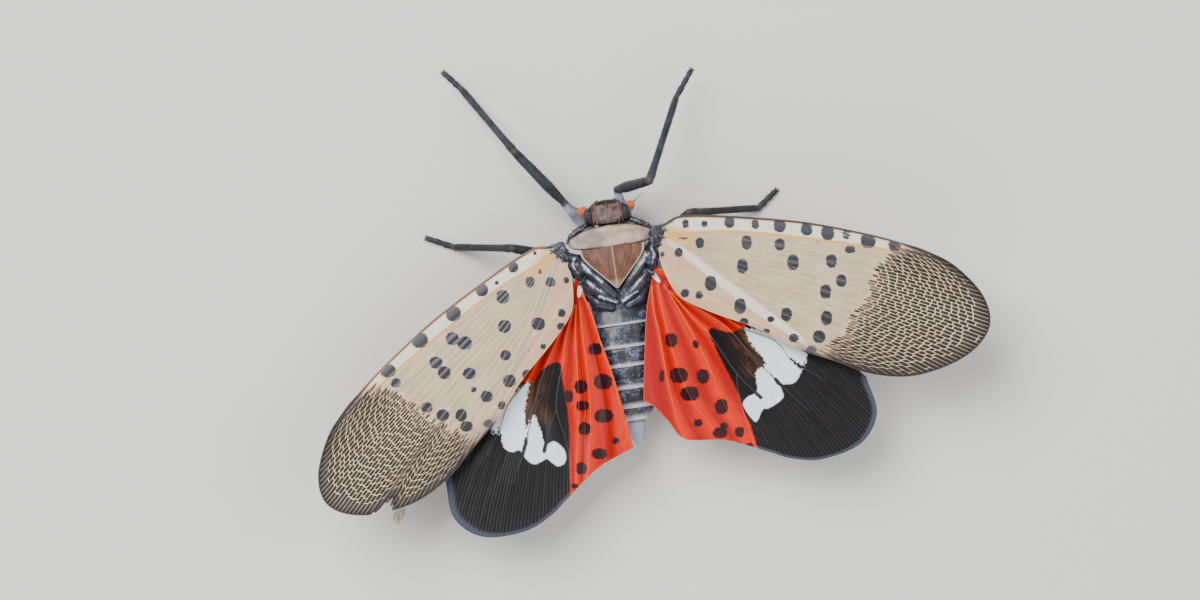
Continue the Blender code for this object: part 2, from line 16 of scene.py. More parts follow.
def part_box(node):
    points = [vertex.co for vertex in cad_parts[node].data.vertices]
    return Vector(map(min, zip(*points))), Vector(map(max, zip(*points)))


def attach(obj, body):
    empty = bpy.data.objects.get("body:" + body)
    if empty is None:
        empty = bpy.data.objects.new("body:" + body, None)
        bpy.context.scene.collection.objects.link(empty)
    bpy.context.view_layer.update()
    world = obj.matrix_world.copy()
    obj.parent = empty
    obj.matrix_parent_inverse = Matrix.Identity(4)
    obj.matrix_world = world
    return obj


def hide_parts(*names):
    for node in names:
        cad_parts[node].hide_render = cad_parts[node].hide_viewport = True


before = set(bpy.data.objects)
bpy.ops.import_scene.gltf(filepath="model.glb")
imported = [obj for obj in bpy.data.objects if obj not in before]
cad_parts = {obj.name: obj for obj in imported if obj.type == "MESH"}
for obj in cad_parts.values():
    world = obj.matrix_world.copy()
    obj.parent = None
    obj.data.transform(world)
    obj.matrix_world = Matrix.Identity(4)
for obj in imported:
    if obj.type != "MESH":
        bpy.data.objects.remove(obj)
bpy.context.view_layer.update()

# Camera, floor and light
# The insect stands on a pale floor, and the camera looks straight down on it with its head at the
# top, turned a little to the left. Three broad lamps and a pale sky light it softly.
MM = 0.001
LEFT, RIGHT = 1, -1
SIDE_NAMES = {LEFT: "left", RIGHT: "right"}
ABDOMEN_FRONT_Y = 4.85
VIEW_TURN = math.radians(8.0)
VIEW_MIDDLE = (1.36, 4.10)
VIEW_HEIGHT = 236.0
VIEW_LENS = 97.67
FLOOR_HALF = 400.0
FLOOR_COLOUR = (0.78, 0.77, 0.75)

abdomen_low, abdomen_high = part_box("abdomen")
ORIGIN = np.array(((abdomen_low.x + abdomen_high.x) / 2, abdomen_low.y - ABDOMEN_FRONT_Y * MM, 0.0))


def metres(points):
    """Places in the model's frame for places in the insect's own millimetres."""
    return np.asarray(points, float) * MM + ORIGIN


camera_data = bpy.data.cameras.new("camera")
camera_data.lens = VIEW_LENS
camera_data.clip_start = 0.01
camera = bpy.data.objects.new("camera", camera_data)
bpy.context.scene.collection.objects.link(camera)
view_right = Vector((-math.cos(VIEW_TURN), math.sin(VIEW_TURN), 0.0))
view_up = Vector((-math.sin(VIEW_TURN), -math.cos(VIEW_TURN), 0.0))
view_axes = Matrix((view_right, view_up, (0.0, 0.0, 1.0))).transposed().to_4x4()
camera.matrix_world = Matrix.Translation(metres((*VIEW_MIDDLE, VIEW_HEIGHT))) @ view_axes
bpy.context.scene.camera = camera


def soft_lamp(name, place, size, power):
    """A square lamp that faces the insect."""
    data = bpy.data.lights.new(name, "AREA")
    data.size = size * MM
    data.energy = power
    lamp = bpy.data.objects.new(name, data)
    lamp.location = metres(place)
    aim = Vector(metres((0.0, 4.0, 3.0))) - lamp.location
    lamp.rotation_euler = aim.to_track_quat("-Z", "Y").to_euler()
    bpy.context.scene.collection.objects.link(lamp)


soft_lamp("key_lamp", (130.0, -170.0, 330.0), 260.0, 2.2)
soft_lamp("fill_lamp", (-220.0, 40.0, 260.0), 300.0, 0.55)
soft_lamp("back_lamp", (60.0, 260.0, 200.0), 240.0, 0.50)
sky = bpy.data.worlds.new("sky")
sky.use_nodes = True
sky.node_tree.nodes["Background"].inputs["Color"].default_value = (0.95, 0.97, 1.0, 1.0)
sky.node_tree.nodes["Background"].inputs["Strength"].default_value = 0.26
bpy.context.scene.world = sky


class Nodes:
    """Adds nodes to a tree: the settings first, then the values or links of the sockets."""

    def __init__(self, tree):
        self.tree = tree

    def node(self, kind, settings=None, sockets=None, output=0):
        """Any node; a ramp's settings may hold stops, each a place and a colour."""
        made = self.tree.nodes.new(kind)
        for key, value in (settings or {}).items():
            if key == "stops":
                for stop in range(2, len(value)):
                    made.color_ramp.elements.new(stop / len(value))
                for element, (place, colour) in zip(made.color_ramp.elements, value):
                    element.position = place
                    element.color = (*colour, 1.0)
            else:
                setattr(made, key, value)
        for key, value in (sockets or {}).items():
            if isinstance(value, Socket):
                self.tree.links.new(value.output, made.inputs[key])
            else:
                made.inputs[key].default_value = value
        return Socket(self, made.outputs[output])


class Socket:
    """A node's output that Python's operators work on, each by adding a Math node."""

    def __init__(self, nodes, output):
        self.nodes, self.output = nodes, output

    def math(self, operation, first, second=0.0):
        return self.nodes.node("ShaderNodeMath", {"operation": operation}, {0: first, 1: second})

    def __add__(self, other):
        return self.math("ADD", self, other)

    def __sub__(self, other):
        return self.math("SUBTRACT", self, other)

    def __rsub__(self, other):
        return self.math("SUBTRACT", other, self)

    def __mul__(self, other):
        return self.math("MULTIPLY", self, other)

    def __truediv__(self, other):
        return self.math("DIVIDE", self, other)

    __radd__ = __add__
    __rmul__ = __mul__

    def most(self, other):
        return self.math("MAXIMUM", self, other)

    def sine(self):
        return self.math("SINE", self)

    def between(self, low, high):
        """Runs smoothly from 0 at low to 1 at high, and backwards where low is the higher."""
        sockets = {"Value": self, "From Min": low, "From Max": high}
        return self.nodes.node("ShaderNodeMapRange", {"interpolation_type": "SMOOTHSTEP"}, sockets)


class Finish(Nodes):
    """A material of one Principled shader, with its patterns in millimetres."""

    def __init__(self, name, **constants):
        self.material = bpy.data.materials.new(name)
        self.material.use_nodes = True
        super().__init__(self.material.node_tree)
        self.shader = self.tree.nodes["Principled BSDF"]
        for label, value in constants.items():
            self.shader.inputs[label.replace("_", " ")].default_value = value

    def attribute(self, name, output=2):
        """A value stored on the mesh; output 1 reads a vector."""
        return self.node("ShaderNodeAttribute", {"attribute_name": name}, output=output)

    def place(self, stretch=(1.0, 1.0, 1.0)):
        """The object's own coordinates in millimetres, divided by stretch."""
        here = self.node("ShaderNodeTexCoord", output=3)
        return self.node("ShaderNodeMapping", {"vector_type": "POINT"},
                         {"Vector": here, "Scale": [1.0 / (MM * size) for size in stretch]})

    def on_wing(self, stretch):
        """A wing's span and chord, divided by stretch."""
        return self.node("ShaderNodeMapping", {}, {"Vector": self.attribute("flat", 1),
                                                   "Scale": [1.0 / size for size in stretch]})

    def noise(self, vector, detail=3.0, roughness=0.5):
        """Cloudy variation about 0.5."""
        return self.node("ShaderNodeTexNoise", {},
                         {"Vector": vector, "Scale": 1.0, "Detail": detail, "Roughness": roughness})

    def mix(self, factor, first, second):
        """A colour between two; plain colours are given as three numbers."""
        colours = [c if isinstance(c, Socket) else (*c, 1.0) for c in (first, second)]
        return self.node("ShaderNodeMix", {"data_type": "RGBA"}, {0: factor, 6: colours[0], 7: colours[1]}, 2)

    def show(self, colour=None, roughness=None, relief=None, depth=0.01, coat=None):
        """Links what varies into the shader; relief is in units of depth millimetres."""
        if coat is not None:
            self.tree.links.new(coat.output, self.shader.inputs["Coat Weight"])
        if colour is not None:
            self.tree.links.new(colour.output, self.shader.inputs["Base Color"])
        if roughness is not None:
            self.tree.links.new(roughness.output, self.shader.inputs["Roughness"])
        if relief is not None:
            bump = self.node("ShaderNodeBump", {}, {"Height": relief, "Strength": 1.0, "Distance": depth * MM})
            self.tree.links.new(bump.output, self.shader.inputs["Normal"])


def new_mesh(name, points, faces=(), edges=()):
    """A mesh from points in millimetres of the insect's frame."""
    mesh = bpy.data.meshes.new(name)
    mesh.from_pydata(metres(points).tolist(), edges, faces)
    return mesh


def store(mesh, name, values):
    """Keeps a number or a vector for each point of a mesh."""
    values = np.asarray(values, np.float32)
    vector = values.ndim == 2
    layer = mesh.attributes.new(name, "FLOAT_VECTOR" if vector else "FLOAT", "POINT")
    layer.data.foreach_set("vector" if vector else "value", values.ravel())


def vertex_places(mesh):
    """A mesh's points in millimetres of the insect's frame."""
    places = np.empty(len(mesh.vertices) * 3)
    mesh.vertices.foreach_get("co", places)
    return (places.reshape(-1, 3) - ORIGIN) / MM


def read_values(mesh, name):
    """The numbers kept for each point of a mesh."""
    values = np.empty(len(mesh.vertices), np.float32)
    mesh.attributes[name].data.foreach_get("value", values)
    return values


def add_piece(name, mesh, finish, replaces=()):
    """Puts a finished mesh in the scene as a piece of the insect."""
    mesh.materials.clear()
    mesh.materials.append(finish.material)
    mesh.shade_smooth()
    piece = bpy.data.objects.new(name, mesh)
    bpy.context.scene.collection.objects.link(piece)
    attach(piece, "root")
    if replaces:
        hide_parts(*replaces)
    return piece


floor_finish = Finish("floor", Roughness=0.8)
floor_cloud = floor_finish.noise(floor_finish.place((60.0, 60.0, 60.0)))
floor_finish.show(floor_finish.mix(floor_cloud, FLOOR_COLOUR, [c * 0.96 for c in FLOOR_COLOUR]))
floor_corners = [(x, y, 0.0) for x, y in ((-1, -1), (1, -1), (1, 1), (-1, 1))]
floor_mesh = new_mesh("floor", np.array(floor_corners) * FLOOR_HALF, [(0, 1, 2, 3)])
floor_mesh.materials.append(floor_finish.material)
floor = bpy.data.objects.new("floor", floor_mesh)
bpy.context.scene.collection.objects.link(floor)

# Forewings
# Leathery tan forewings, with grey-black spots, a cream strip along the leading edge, a pinkish
# clavus behind a white stripe, and a net of cream veins round dark panes at the tip. Each is one
# thin sheet between its four edges, with its veins raised on both faces.
FOREWING = {
    "leading": ((0.45, 0.80), (1.3, 1.42), (4.0, 2.08), (9.6, 2.98), (14.5, 3.22), (17.4, 3.13)),
    "margin": ((17.4, 3.13), (18.6, 3.02), (20.8, 2.45), (23.2, 0.85), (24.1, -1.25), (22.9, -3.60), (20.0, -5.62), (17.0, -6.25),
               (14.2, -6.00), (11.8, -5.84)),
    "trailing": ((0.30, -1.15), (0.86, -2.37), (2.4, -4.00), (4.7, -4.60), (8.4, -5.02), (11.8, -5.84)),
    "veins": ((0.22, 5.2), (0.36, 9.2), (0.50, 13.1), (0.62, 17.4), (0.74, 21.4)),
}
FOREWING_POSES = {LEFT: ((3.81, 0.18), 37.5, 0.92), RIGHT: ((3.44, -0.10), 21.4, 1.0)}
FOREWING_Z = 5.25
FOREWING_RISE = 0.07
FOREWING_ARCH = 0.30
SHEET_HALF = 0.02          # half the thickness of a wing's membrane
ROW_PITCH = 0.27           # from vein to vein in the net at the tip
VEIN_RADIUS = 0.030
NET_ROUNDS = (0.30, 0.72)  # shortest and longest pane in the net
COSTAL_VEIN = ((0.8, -0.05), (1.9, 0.35), (3.5, 0.85), (5.0, 1.22), (7.4, 1.62), (9.9, 1.92), (12.3, 2.18),
               (14.8, 2.40), (16.6, 2.50))
SUTURE = ((0.55, -0.36), (1.2, -0.40), (2.9, -1.05), (4.9, -1.92), (7.3, -2.95), (9.6, -3.95), (11.4, -4.75),
          (12.3, -5.45))
STRIPE_REAR = ((0.7, -0.62), (1.9, -1.25), (3.4, -1.95), (5.3, -2.85), (7.4, -3.80), (9.0, -4.42), (10.9, -5.10),
               (12.2, -5.60))
LEFT_SUTURE = ((0.6, -0.40), (0.9, -0.5), (2.8, -1.2), (4.9, -2.3), (7.0, -3.2), (9.2, -4.2), (11.4, -5.2), (12.3, -5.6))
LEFT_BAND_REAR = ((0.7, -0.9), (1.2, -1.1), (2.6, -1.9), (4.3, -2.5), (6.3, -3.5), (8.4, -4.4), (10.2, -5.0), (11.6, -5.5))
CLAVAL_VEIN = ((0.8, -1.9), (1.2, -2.75), (1.9, -3.13), (3.6, -3.47), (7.0, -4.33), (9.9, -5.07), (11.6, -5.62))
NET_EDGES = {
    LEFT: ((18.2, 3.6), (16.9, 3.4), (15.7, 2.4), (15.0, 0.9), (14.9, -0.9), (14.7, -2.4), (14.2, -4.0),
           (13.7, -5.4), (12.9, -6.6)),
    RIGHT: ((17.8, 3.6), (17.2, 3.1), (16.3, 2.3), (15.7, 1.3), (15.4, 0.3), (15.3, -1.1), (14.9, -2.2),
            (14.4, -3.2), (14.0, -4.3), (13.3, -5.3), (12.6, -6.4)),
}
# Spots as span, chord and the half sizes across and up as the camera sees them
FOREWING_SPOTS = {
    LEFT: ((1.3, 1.1, .14, .14), (2.0, -.2, .14, .17), (3.1, 1.5, .36, .38), (4.7, 1.6, .15, .15),
           (5.8, 2.0, .45, .45), (5.1, .5, .46, .48), (3.0, -.2, .33, .39), (2.0, -1.3, .36, .34),
           (1.1, -2.1, .21, .24), (8.4, 2.3, .55, .55), (6.5, -1.2, .46, .46), (4.7, -2.9, .48, .46),
           (3.0, -3.6, .27, .31), (3.7, -4.3, .31, .27), (11.4, 2.7, .60, .55), (9.7, 1.0, .46, .46),
           (9.3, 0.1, .52, .48), (7.9, -2.8, .38, .38), (5.6, -4.4, .21, .21), (6.5, -3.8, .09, .09),
           (14.5, 2.8, .58, .48), (11.7, .6, .46, .43), (11.8, -.4, .46, .46), (10.6, -1.8, .46, .41),
           (14.7, 1.7, .38, .34), (11.2, -2.9, .21, .21), (9.0, -4.4, .45, .46), (7.8, -5.0, .34, .34),
           (10.9, -4.0, .43, .41), (10.6, -5.3, .29, .31), (14.4, -1.3, .41, .38), (14.0, -2.6, .45, .41),
           (13.1, -3.6, .41, .45), (13.4, -4.5, .45, .38), (12.2, -5.5, .38, .29)),
    RIGHT: ((1.7, 1.0, .24, .33), (3.0, 1.3, .23, .24), (4.7, 1.8, .37, .41), (6.5, 2.1, .28, .36),
            (8.2, 2.4, .44, .49), (10.1, 2.6, .42, .49), (11.6, 2.7, .47, .57), (12.9, 2.9, .29, .41),
            (14.5, 2.8, .54, .54), (16.4, 2.9, .46, .46), (3.0, -.1, .31, .39), (6.2, .7, .37, .52),
            (8.5, 1.1, .37, .42), (13.4, 1.9, .37, .29), (9.7, .1, .42, .57), (12.3, .8, .39, .49),
            (6.3, -1.0, .39, .52), (13.3, -.4, .37, .46), (12.4, -1.4, .39, .52), (1.7, -1.1, .29, .33),
            (4.4, -2.7, .42, .55), (2.8, -3.8, .31, .31), (3.8, -3.7, .28, .29), (6.8, -3.8, .42, .57),
            (7.3, -4.8, .34, .26), (9.1, -4.2, .26, .23), (10.1, -3.6, .39, .49), (9.0, -5.1, .26, .23),
            (12.9, -3.2, .39, .52), (11.0, -5.1, .36, .33), (12.7, -4.6, .44, .46), (12.4, -5.6, .36, .29),
            (.6, -1.5, .16, .23), (11.0, 1.9, .09, .08), (1.8, -.04, .30, .07)),
}
# The left wing's margin is torn at this place, and a ragged flap hangs from beside it
TEAR_PLACE, TEAR_HALF, TEAR_DEPTH = (21.9, -4.6), 0.75, 0.055
FLAP_ROOT = ((20.6, -5.45), (20.9, -5.30), (21.25, -5.12))
FLAP_END = ((21.15, -6.15), (21.65, -6.10), (22.0, -5.85))


class Path:
    """A smooth curve through points, read by fractions of its length."""

    def __init__(self, points, steps=16):
        points = [np.array(point, float) for point in points]
        ends = [2 * points[0] - points[1], *points, 2 * points[-1] - points[-2]]
        curve = [points[0]]
        for p0, p1, p2, p3 in zip(ends, ends[1:], ends[2:], ends[3:]):
            for t in np.linspace(0.0, 1.0, steps + 1)[1:]:
                curve.append(0.5 * (2 * p1 + (p2 - p0) * t + (2 * p0 - 5 * p1 + 4 * p2 - p3) * t * t
                                    + (3 * p1 - p0 - 3 * p2 + p3) * t ** 3))
        self.points = np.array(curve)
        self.lengths = np.concatenate(([0.0], np.cumsum(np.linalg.norm(np.diff(self.points, axis=0), axis=1))))
        self.length = self.lengths[-1]

    def at(self, fractions):
        """Points at fractions of the curve's length."""
        places = np.asarray(fractions, float) * self.length
        return np.stack([np.interp(places, self.lengths, column) for column in self.points.T], -1)


class Wing:
    """A wing's sheet in millimetres of span outwards and chord forwards from its root.

    A line runs from the root edge out to the margin. It is named by its share of the margin's
    length, 0 at the leading end, and u says how far out along it a point lies.
    """

    def __init__(self, side, pose, outline):
        self.side = side
        (self.root_x, self.root_y), sweep, self.chord_seen = pose
        self.angle = math.radians(sweep)
        self.spot_turn = self.angle + side * VIEW_TURN
        self.leading, self.margin, self.trailing = (Path(outline[edge]) for edge in ("leading", "margin", "trailing"))
        self.root = Path((outline["leading"][0], outline["trailing"][0]), steps=1)
        self.vein_roots = [0.0, *(root for root, mm in outline["veins"]), 1.0]
        self.vein_ends = [0.0, *(mm / self.margin.length for root, mm in outline["veins"]), 1.0]

    def reach(self, line):
        """How far out the sheet runs along each line; only a torn margin falls short of 1."""
        return np.ones_like(line)

    def flat(self, line, u):
        """Span and chord of points on the sheet."""
        line, u = np.broadcast_arrays(np.asarray(line, float), np.asarray(u, float))
        u = u * self.reach(line)
        root_line = np.interp(line, self.vein_ends, self.vein_roots)
        across = ((root_line + line) / 2)[..., None]
        out = u[..., None]
        edges = self.leading.at(u) * (1 - across) + self.trailing.at(u) * across
        ends = self.root.at(root_line) * (1 - out) + self.margin.at(line) * out
        inner = self.leading.at(0.0) * (1 - across) + self.trailing.at(0.0) * across
        outer = self.leading.at(1.0) * (1 - across) + self.trailing.at(1.0) * across
        return edges + ends - inner * (1 - out) - outer * out

    def stand(self, flat, height):
        """Places in the insect's frame for span, chord and height."""
        span, chord = flat[..., 0], flat[..., 1] * self.chord_seen
        across = self.root_x + span * math.cos(self.angle) + chord * math.sin(self.angle)
        back = self.root_y + span * math.sin(self.angle) - chord * math.cos(self.angle)
        return np.stack((self.side * across, back, height), -1)


    def lay_flat(self, places):
        """Span and chord for places in the insect's frame."""
        across, back = self.side * places[:, 0] - self.root_x, places[:, 1] - self.root_y
        span = across * math.cos(self.angle) + back * math.sin(self.angle)
        chord = (across * math.sin(self.angle) - back * math.cos(self.angle)) / self.chord_seen
        return np.stack((span, chord), -1)


class Forewing(Wing):
    """A forewing rises along its span and arches across its chord."""

    def reach(self, line):
        """The left wing's margin has a jagged tear."""
        if self.side == RIGHT:
            return np.ones_like(line)
        shares = np.linspace(0.5, 0.8, 301)
        tear = shares[np.argmin(np.linalg.norm(self.margin.at(shares) - TEAR_PLACE, axis=1))]
        off = (line - tear) * self.margin.length / TEAR_HALF
        return 1.0 - TEAR_DEPTH * np.clip(1.0 - np.abs(off) + 0.22 * np.sin(off * 11.0), 0.0, 1.0)

    def raise_flat(self, flat, lift=0.0):
        arch = FOREWING_ARCH * np.cos(math.pi * (flat[..., 1] + 1.6) / 10.0)
        return self.stand(flat, FOREWING_Z + FOREWING_RISE * flat[..., 0] + arch + lift)


def line_distance(flat, points, closed=False):
    """Signed distance to a line, positive on its left, or to a closed line, positive inside."""
    corners = np.array(points, float)
    if closed:
        corners = np.vstack((corners, corners[:1]))
    best = np.full(flat.shape[:-1], np.inf)
    sign = np.ones(best.shape)
    crossings = np.zeros(best.shape, int)
    for start, end in zip(corners, corners[1:]):
        run = end - start
        offset = flat - start
        along = np.clip((offset @ run) / max(run @ run, 1e-12), 0.0, 1.0)
        gap = np.linalg.norm(offset - along[..., None] * run, axis=-1)
        turn = run[0] * offset[..., 1] - run[1] * offset[..., 0]
        nearer = gap < best
        best = np.where(nearer, gap, best)
        sign = np.where(nearer, np.where(turn >= 0, 1.0, -1.0), sign)
        straddles = (start[1] > flat[..., 1]) != (end[1] > flat[..., 1])
        if run[1]:
            crosses = flat[..., 0] < start[0] + (flat[..., 1] - start[1]) * run[0] / run[1]
            crossings += straddles & crosses
    return best * (np.where(crossings % 2 == 1, 1.0, -1.0) if closed else sign)


def spot_distance(wing, flat, spots, squareness=2.3):
    """Distance outside the nearest spot's edge, negative inside it."""
    best = np.full(flat.shape[:-1], 9.0)
    cos, sin = math.cos(wing.spot_turn), math.sin(wing.spot_turn)
    for span, chord, half_across, half_up in spots:
        s, c = flat[..., 0] - span, (flat[..., 1] - chord) * wing.chord_seen
        across, up = s * cos + c * sin, c * cos - s * sin
        reach = (np.abs(across / half_across) ** squareness + np.abs(up / half_up) ** squareness) ** (1 / squareness)
        best = np.minimum(best, (reach - 1.0) * min(half_across, half_up))
    return best


def closed_sheet(name, top, bottom):
    """A thin closed sheet between two equal grids of points."""
    rows, columns = top.shape[:2]
    index = np.arange(rows * columns).reshape(rows, columns)
    upper = np.stack((index[:-1, :-1], index[1:, :-1], index[1:, 1:], index[:-1, 1:]), -1).reshape(-1, 4)
    rim = np.concatenate((index[0, :-1], index[:-1, -1], index[-1, :0:-1], index[:0:-1, 0]))
    beyond = np.roll(rim, -1)
    count = rows * columns
    wall = np.stack((rim, beyond, beyond + count, rim + count), -1)
    faces = np.concatenate((upper, upper[:, ::-1] + count, wall))
    mesh = new_mesh(name, np.concatenate((top.reshape(-1, 3), bottom.reshape(-1, 3))), faces.tolist())
    face_outwards(mesh)
    return mesh


def face_outwards(mesh):
    """Turns the faces of closed surfaces to point out."""
    bm = bmesh.new()
    bm.from_mesh(mesh)
    bmesh.ops.recalc_face_normals(bm, faces=bm.faces)
    bm.to_mesh(mesh)
    bm.free()


def wing_map(mesh, flat):
    """Lays the wing out flat for its colours, the upper face above the lower one."""
    middle = (flat.min(0) + flat.max(0)) / 2
    reach = float((flat.max(0) - flat.min(0)).max()) * 1.04
    count = len(mesh.vertices) // 2
    places = (np.concatenate((flat, flat)) - middle) / reach * (1.0, 0.96) + (0.5, 0.0)
    places[:, 1] += np.where(np.arange(2 * count) < count, 0.75, 0.25)
    layer = mesh.uv_layers.new(name="OFBake")
    corners = np.empty(len(mesh.loops), np.int32)
    mesh.loops.foreach_get("vertex_index", corners)
    layer.data.foreach_set("uv", places[corners].astype(np.float32).ravel())


class Growth(Nodes):
    """A Geometry Nodes tree with named inputs, that ends in real mesh of one material."""

    def __init__(self, name, **inputs):
        super().__init__(bpy.data.node_groups.new(name, "GeometryNodeTree"))
        face = self.tree.interface
        face.new_socket("Geometry", in_out="INPUT", socket_type="NodeSocketGeometry")
        face.new_socket("Geometry", in_out="OUTPUT", socket_type="NodeSocketGeometry")
        for label, kind in inputs.items():
            face.new_socket(label.replace("_", " "), in_out="INPUT", socket_type="NodeSocket" + kind)
        self.start = self.tree.nodes.new("NodeGroupInput")

    def value(self, label):
        return Socket(self, self.start.outputs[label])

    def end(self, geometry):
        real = self.node("GeometryNodeRealizeInstances", {}, {0: geometry})
        coated = self.node("GeometryNodeSetMaterial", {}, {"Geometry": real, "Material": self.value("Material")})
        self.node_out = self.tree.nodes.new("NodeGroupOutput")
        self.tree.links.new(coated.output, self.node_out.inputs[0])

    def grow(self, name, mesh, **sizes):
        """The plain mesh that the tree makes of a mesh."""
        seed_object = bpy.data.objects.new(name, mesh)
        bpy.context.scene.collection.objects.link(seed_object)
        modifier = seed_object.modifiers.new(name, "NODES")
        modifier.node_group = self.tree
        for item in self.tree.interface.items_tree:
            label = item.name.replace(" ", "_")
            if item.in_out == "INPUT" and label in sizes:
                modifier[item.identifier] = sizes[label]
        graph = bpy.context.evaluated_depsgraph_get()
        grown = bpy.data.meshes.new_from_object(seed_object.evaluated_get(graph))
        bpy.data.objects.remove(seed_object)
        return grown


# A rib follows each run of edges, with the radius that its points hold
ribs = Growth("ribs", Sides="Int", Material="Material")
rib_runs = ribs.node("GeometryNodeMeshToCurve", {}, {0: ribs.value("Geometry")})
rib_radius = ribs.node("GeometryNodeInputNamedAttribute", {"data_type": "FLOAT"}, {"Name": "rib_radius"})
rib_section = ribs.node("GeometryNodeCurvePrimitiveCircle", {"mode": "RADIUS"},
                        {"Resolution": ribs.value("Sides"), "Radius": 1.0})
rib_skin = ribs.node("GeometryNodeCurveToMesh", {},
                     {"Curve": rib_runs, "Profile Curve": rib_section, "Scale": rib_radius, "Fill Caps": True})
ribs.end(ribs.node("GeometryNodeSetShadeSmooth", {}, {0: rib_skin}))


def rib_mesh(name, runs, finish, sides=6, **values):
    """Ribs along runs of points, each run with its radii; values hold one list per run."""
    points, edges = [], []
    for run, radii in runs:
        first = len(points)
        points.extend(run)
        edges.extend((first + i, first + i + 1) for i in range(len(run) - 1))
    mesh = new_mesh(name, points, edges=edges)
    store(mesh, "rib_radius", np.concatenate([np.broadcast_to(radii, len(run)) for run, radii in runs]) * MM)
    for label, columns in values.items():
        store(mesh, label, np.concatenate(columns))
    return ribs.grow(name, mesh, Sides=sides, Material=finish.material)


def smooth(value):
    """A smooth step from 0 to 1."""
    value = np.clip(value, 0.0, 1.0)
    return value * value * (3 - 2 * value)


TAN, TAN_DARK = (0.58, 0.44, 0.275), (0.47, 0.345, 0.205)
STRIP_CREAM = (0.80, 0.74, 0.62)
CLAVUS_PINK = (0.64, 0.32, 0.21)
# The grey stripe colour is painted shadow along the left wing's suture
STRIPE_WHITE, STRIPE_SHADE_GREY = (0.80, 0.76, 0.68), (0.40, 0.345, 0.265)
VEIN_CREAM, NET_CREAM = (0.78, 0.58, 0.34), (0.66, 0.52, 0.34)
WING_YELLOW = (0.78, 0.43, 0.10)
SPOT_GREY, SPOT_BLACK = (0.030, 0.038, 0.056), (0.008, 0.009, 0.012)
EDGE_DARK, EDGE_BROWN, RIM_GREY = (0.045, 0.040, 0.042), (0.24, 0.12, 0.055), (0.12, 0.11, 0.12)

forewing_finish = Finish("forewing", Roughness=0.5)
f = forewing_finish
ragged = f.noise(f.on_wing((0.16, 0.16, 1.0))) - 0.5
cloud = f.noise(f.on_wing((2.6, 1.2, 1.0)))
streak = f.noise(f.on_wing((1.4, 0.10, 1.0)))
vein = f.attribute("vein")
net = f.attribute("net") + ragged * 0.5
costal = f.attribute("costal")
clavus = f.attribute("clavus")
stripe = f.attribute("stripe")
edge = f.attribute("edge")
rim = f.attribute("rim")
root = f.attribute("root")
spot = f.attribute("spot") + ragged * 0.17
row = f.attribute("row")
sheet = f.mix(cloud.between(0.35, 0.65), TAN, TAN_DARK)
sheet = f.mix(streak.between(0.45, 0.75) * 0.35, sheet, STRIPE_WHITE)
sheet = f.mix(clavus.between(-0.05, 0.15), sheet, f.mix(cloud.between(0.3, 0.7), CLAVUS_PINK, TAN))
# Painted shadow: on the left wing the stripe inside the clavus is grey instead of white
striped = f.mix(f.attribute("grey_stripe"), STRIPE_WHITE, STRIPE_SHADE_GREY)
sheet = f.mix((stripe + ragged * 0.12).between(-0.06, 0.10) * 0.85, sheet, striped)
sheet = f.mix(costal.between(-0.02, 0.10), sheet, STRIP_CREAM)
sheet = f.mix(root.between(0.0, 0.8) * 0.9, sheet, WING_YELLOW)
ribbed = f.mix(net.between(-0.5, 0.5), f.mix(0.85, sheet, VEIN_CREAM), NET_CREAM)
surface = f.mix(vein, f.mix(net.between(-0.1, 0.2), sheet, NET_CREAM), ribbed)
surface = f.mix(costal.between(-0.14, -0.02) * costal.between(0.14, 0.02) * net.between(0.2, -0.2), surface, WING_YELLOW)
spotted = f.mix(ragged.between(-0.25, 0.3), SPOT_BLACK, SPOT_GREY)
spotted = f.mix(vein * 0.18, spotted, VEIN_CREAM)
surface = f.mix(edge.between(0.26, 0.14) * net.between(1.0, 0.0) * 0.8, surface, WING_YELLOW)
surface = f.mix(spot.between(0.03, -0.03), surface, spotted)
# The left wing's flag also makes its leading edge browner
surface = f.mix(edge.between(0.13, 0.07), surface, f.mix(f.attribute("grey_stripe") * 0.7, EDGE_DARK, EDGE_BROWN))
surface = f.mix((rim + ragged * 0.2).between(1.1, 0.0) * 0.55, surface, RIM_GREY)
surface = f.mix(rim.between(0.16, 0.06), surface, EDGE_DARK)
furrow = (row * (2 * math.pi)).sine() * net.between(0.2, -0.2)
f.show(surface, 0.62 - cloud * 0.25 - spot.between(0.03, -0.03) * 0.12, furrow + streak * 0.6, 0.012)

pane_finish = Finish("net_pane", Roughness=0.42)
f = pane_finish
fade = f.attribute("pane_fade")
grain = f.noise(f.on_wing((0.5, 0.3, 1.0)))
dark = f.mix(grain.between(0.3, 0.7), (0.010, 0.005, 0.004), (0.028, 0.013, 0.009))
f.show(f.mix(fade, dark, (0.24, 0.15, 0.09)), 0.35 + grain * 0.3, grain, 0.01)


def forewing_values(wing, flat, spots):
    """What the forewing's finish reads, for each point of a mesh."""
    suture, rear = (LEFT_SUTURE, LEFT_BAND_REAR) if wing.side == LEFT else (SUTURE, STRIPE_REAR)
    stripe = np.minimum(-line_distance(flat, Path(suture).points), line_distance(flat, Path(rear).points))
    root_far = np.hypot((flat[..., 0] - 1.4) / 2.3, (flat[..., 1] - 0.1) / 0.9)
    beyond = line_distance(flat, wing.flat(np.linspace(0.0, 1.0, 240), 1.0))
    return {
        "flat": np.concatenate((flat, np.zeros((*flat.shape[:-1], 1))), -1),
        "spot": spot_distance(wing, flat, spots),
        "net": line_distance(flat, Path(NET_EDGES[wing.side]).points),
        "costal": line_distance(flat, Path(COSTAL_VEIN + ((18.5, 2.9),)).points),
        "clavus": -line_distance(flat, Path(suture + ((12.6, -7.0),)).points),
        # 1 on the left wing, whose stripe carries the painted shadow
        "grey_stripe": np.full(flat.shape[:-1], float(wing.side == LEFT)),
        "stripe": stripe,
        "edge": np.abs(line_distance(flat, wing.leading.points)),
        "rim": np.where((beyond > 0.08) & (flat[..., 1] < -5.2), 0.115, np.abs(beyond)),
        "root": np.clip(1.0 - root_far, 0.0, 1.0),
    }


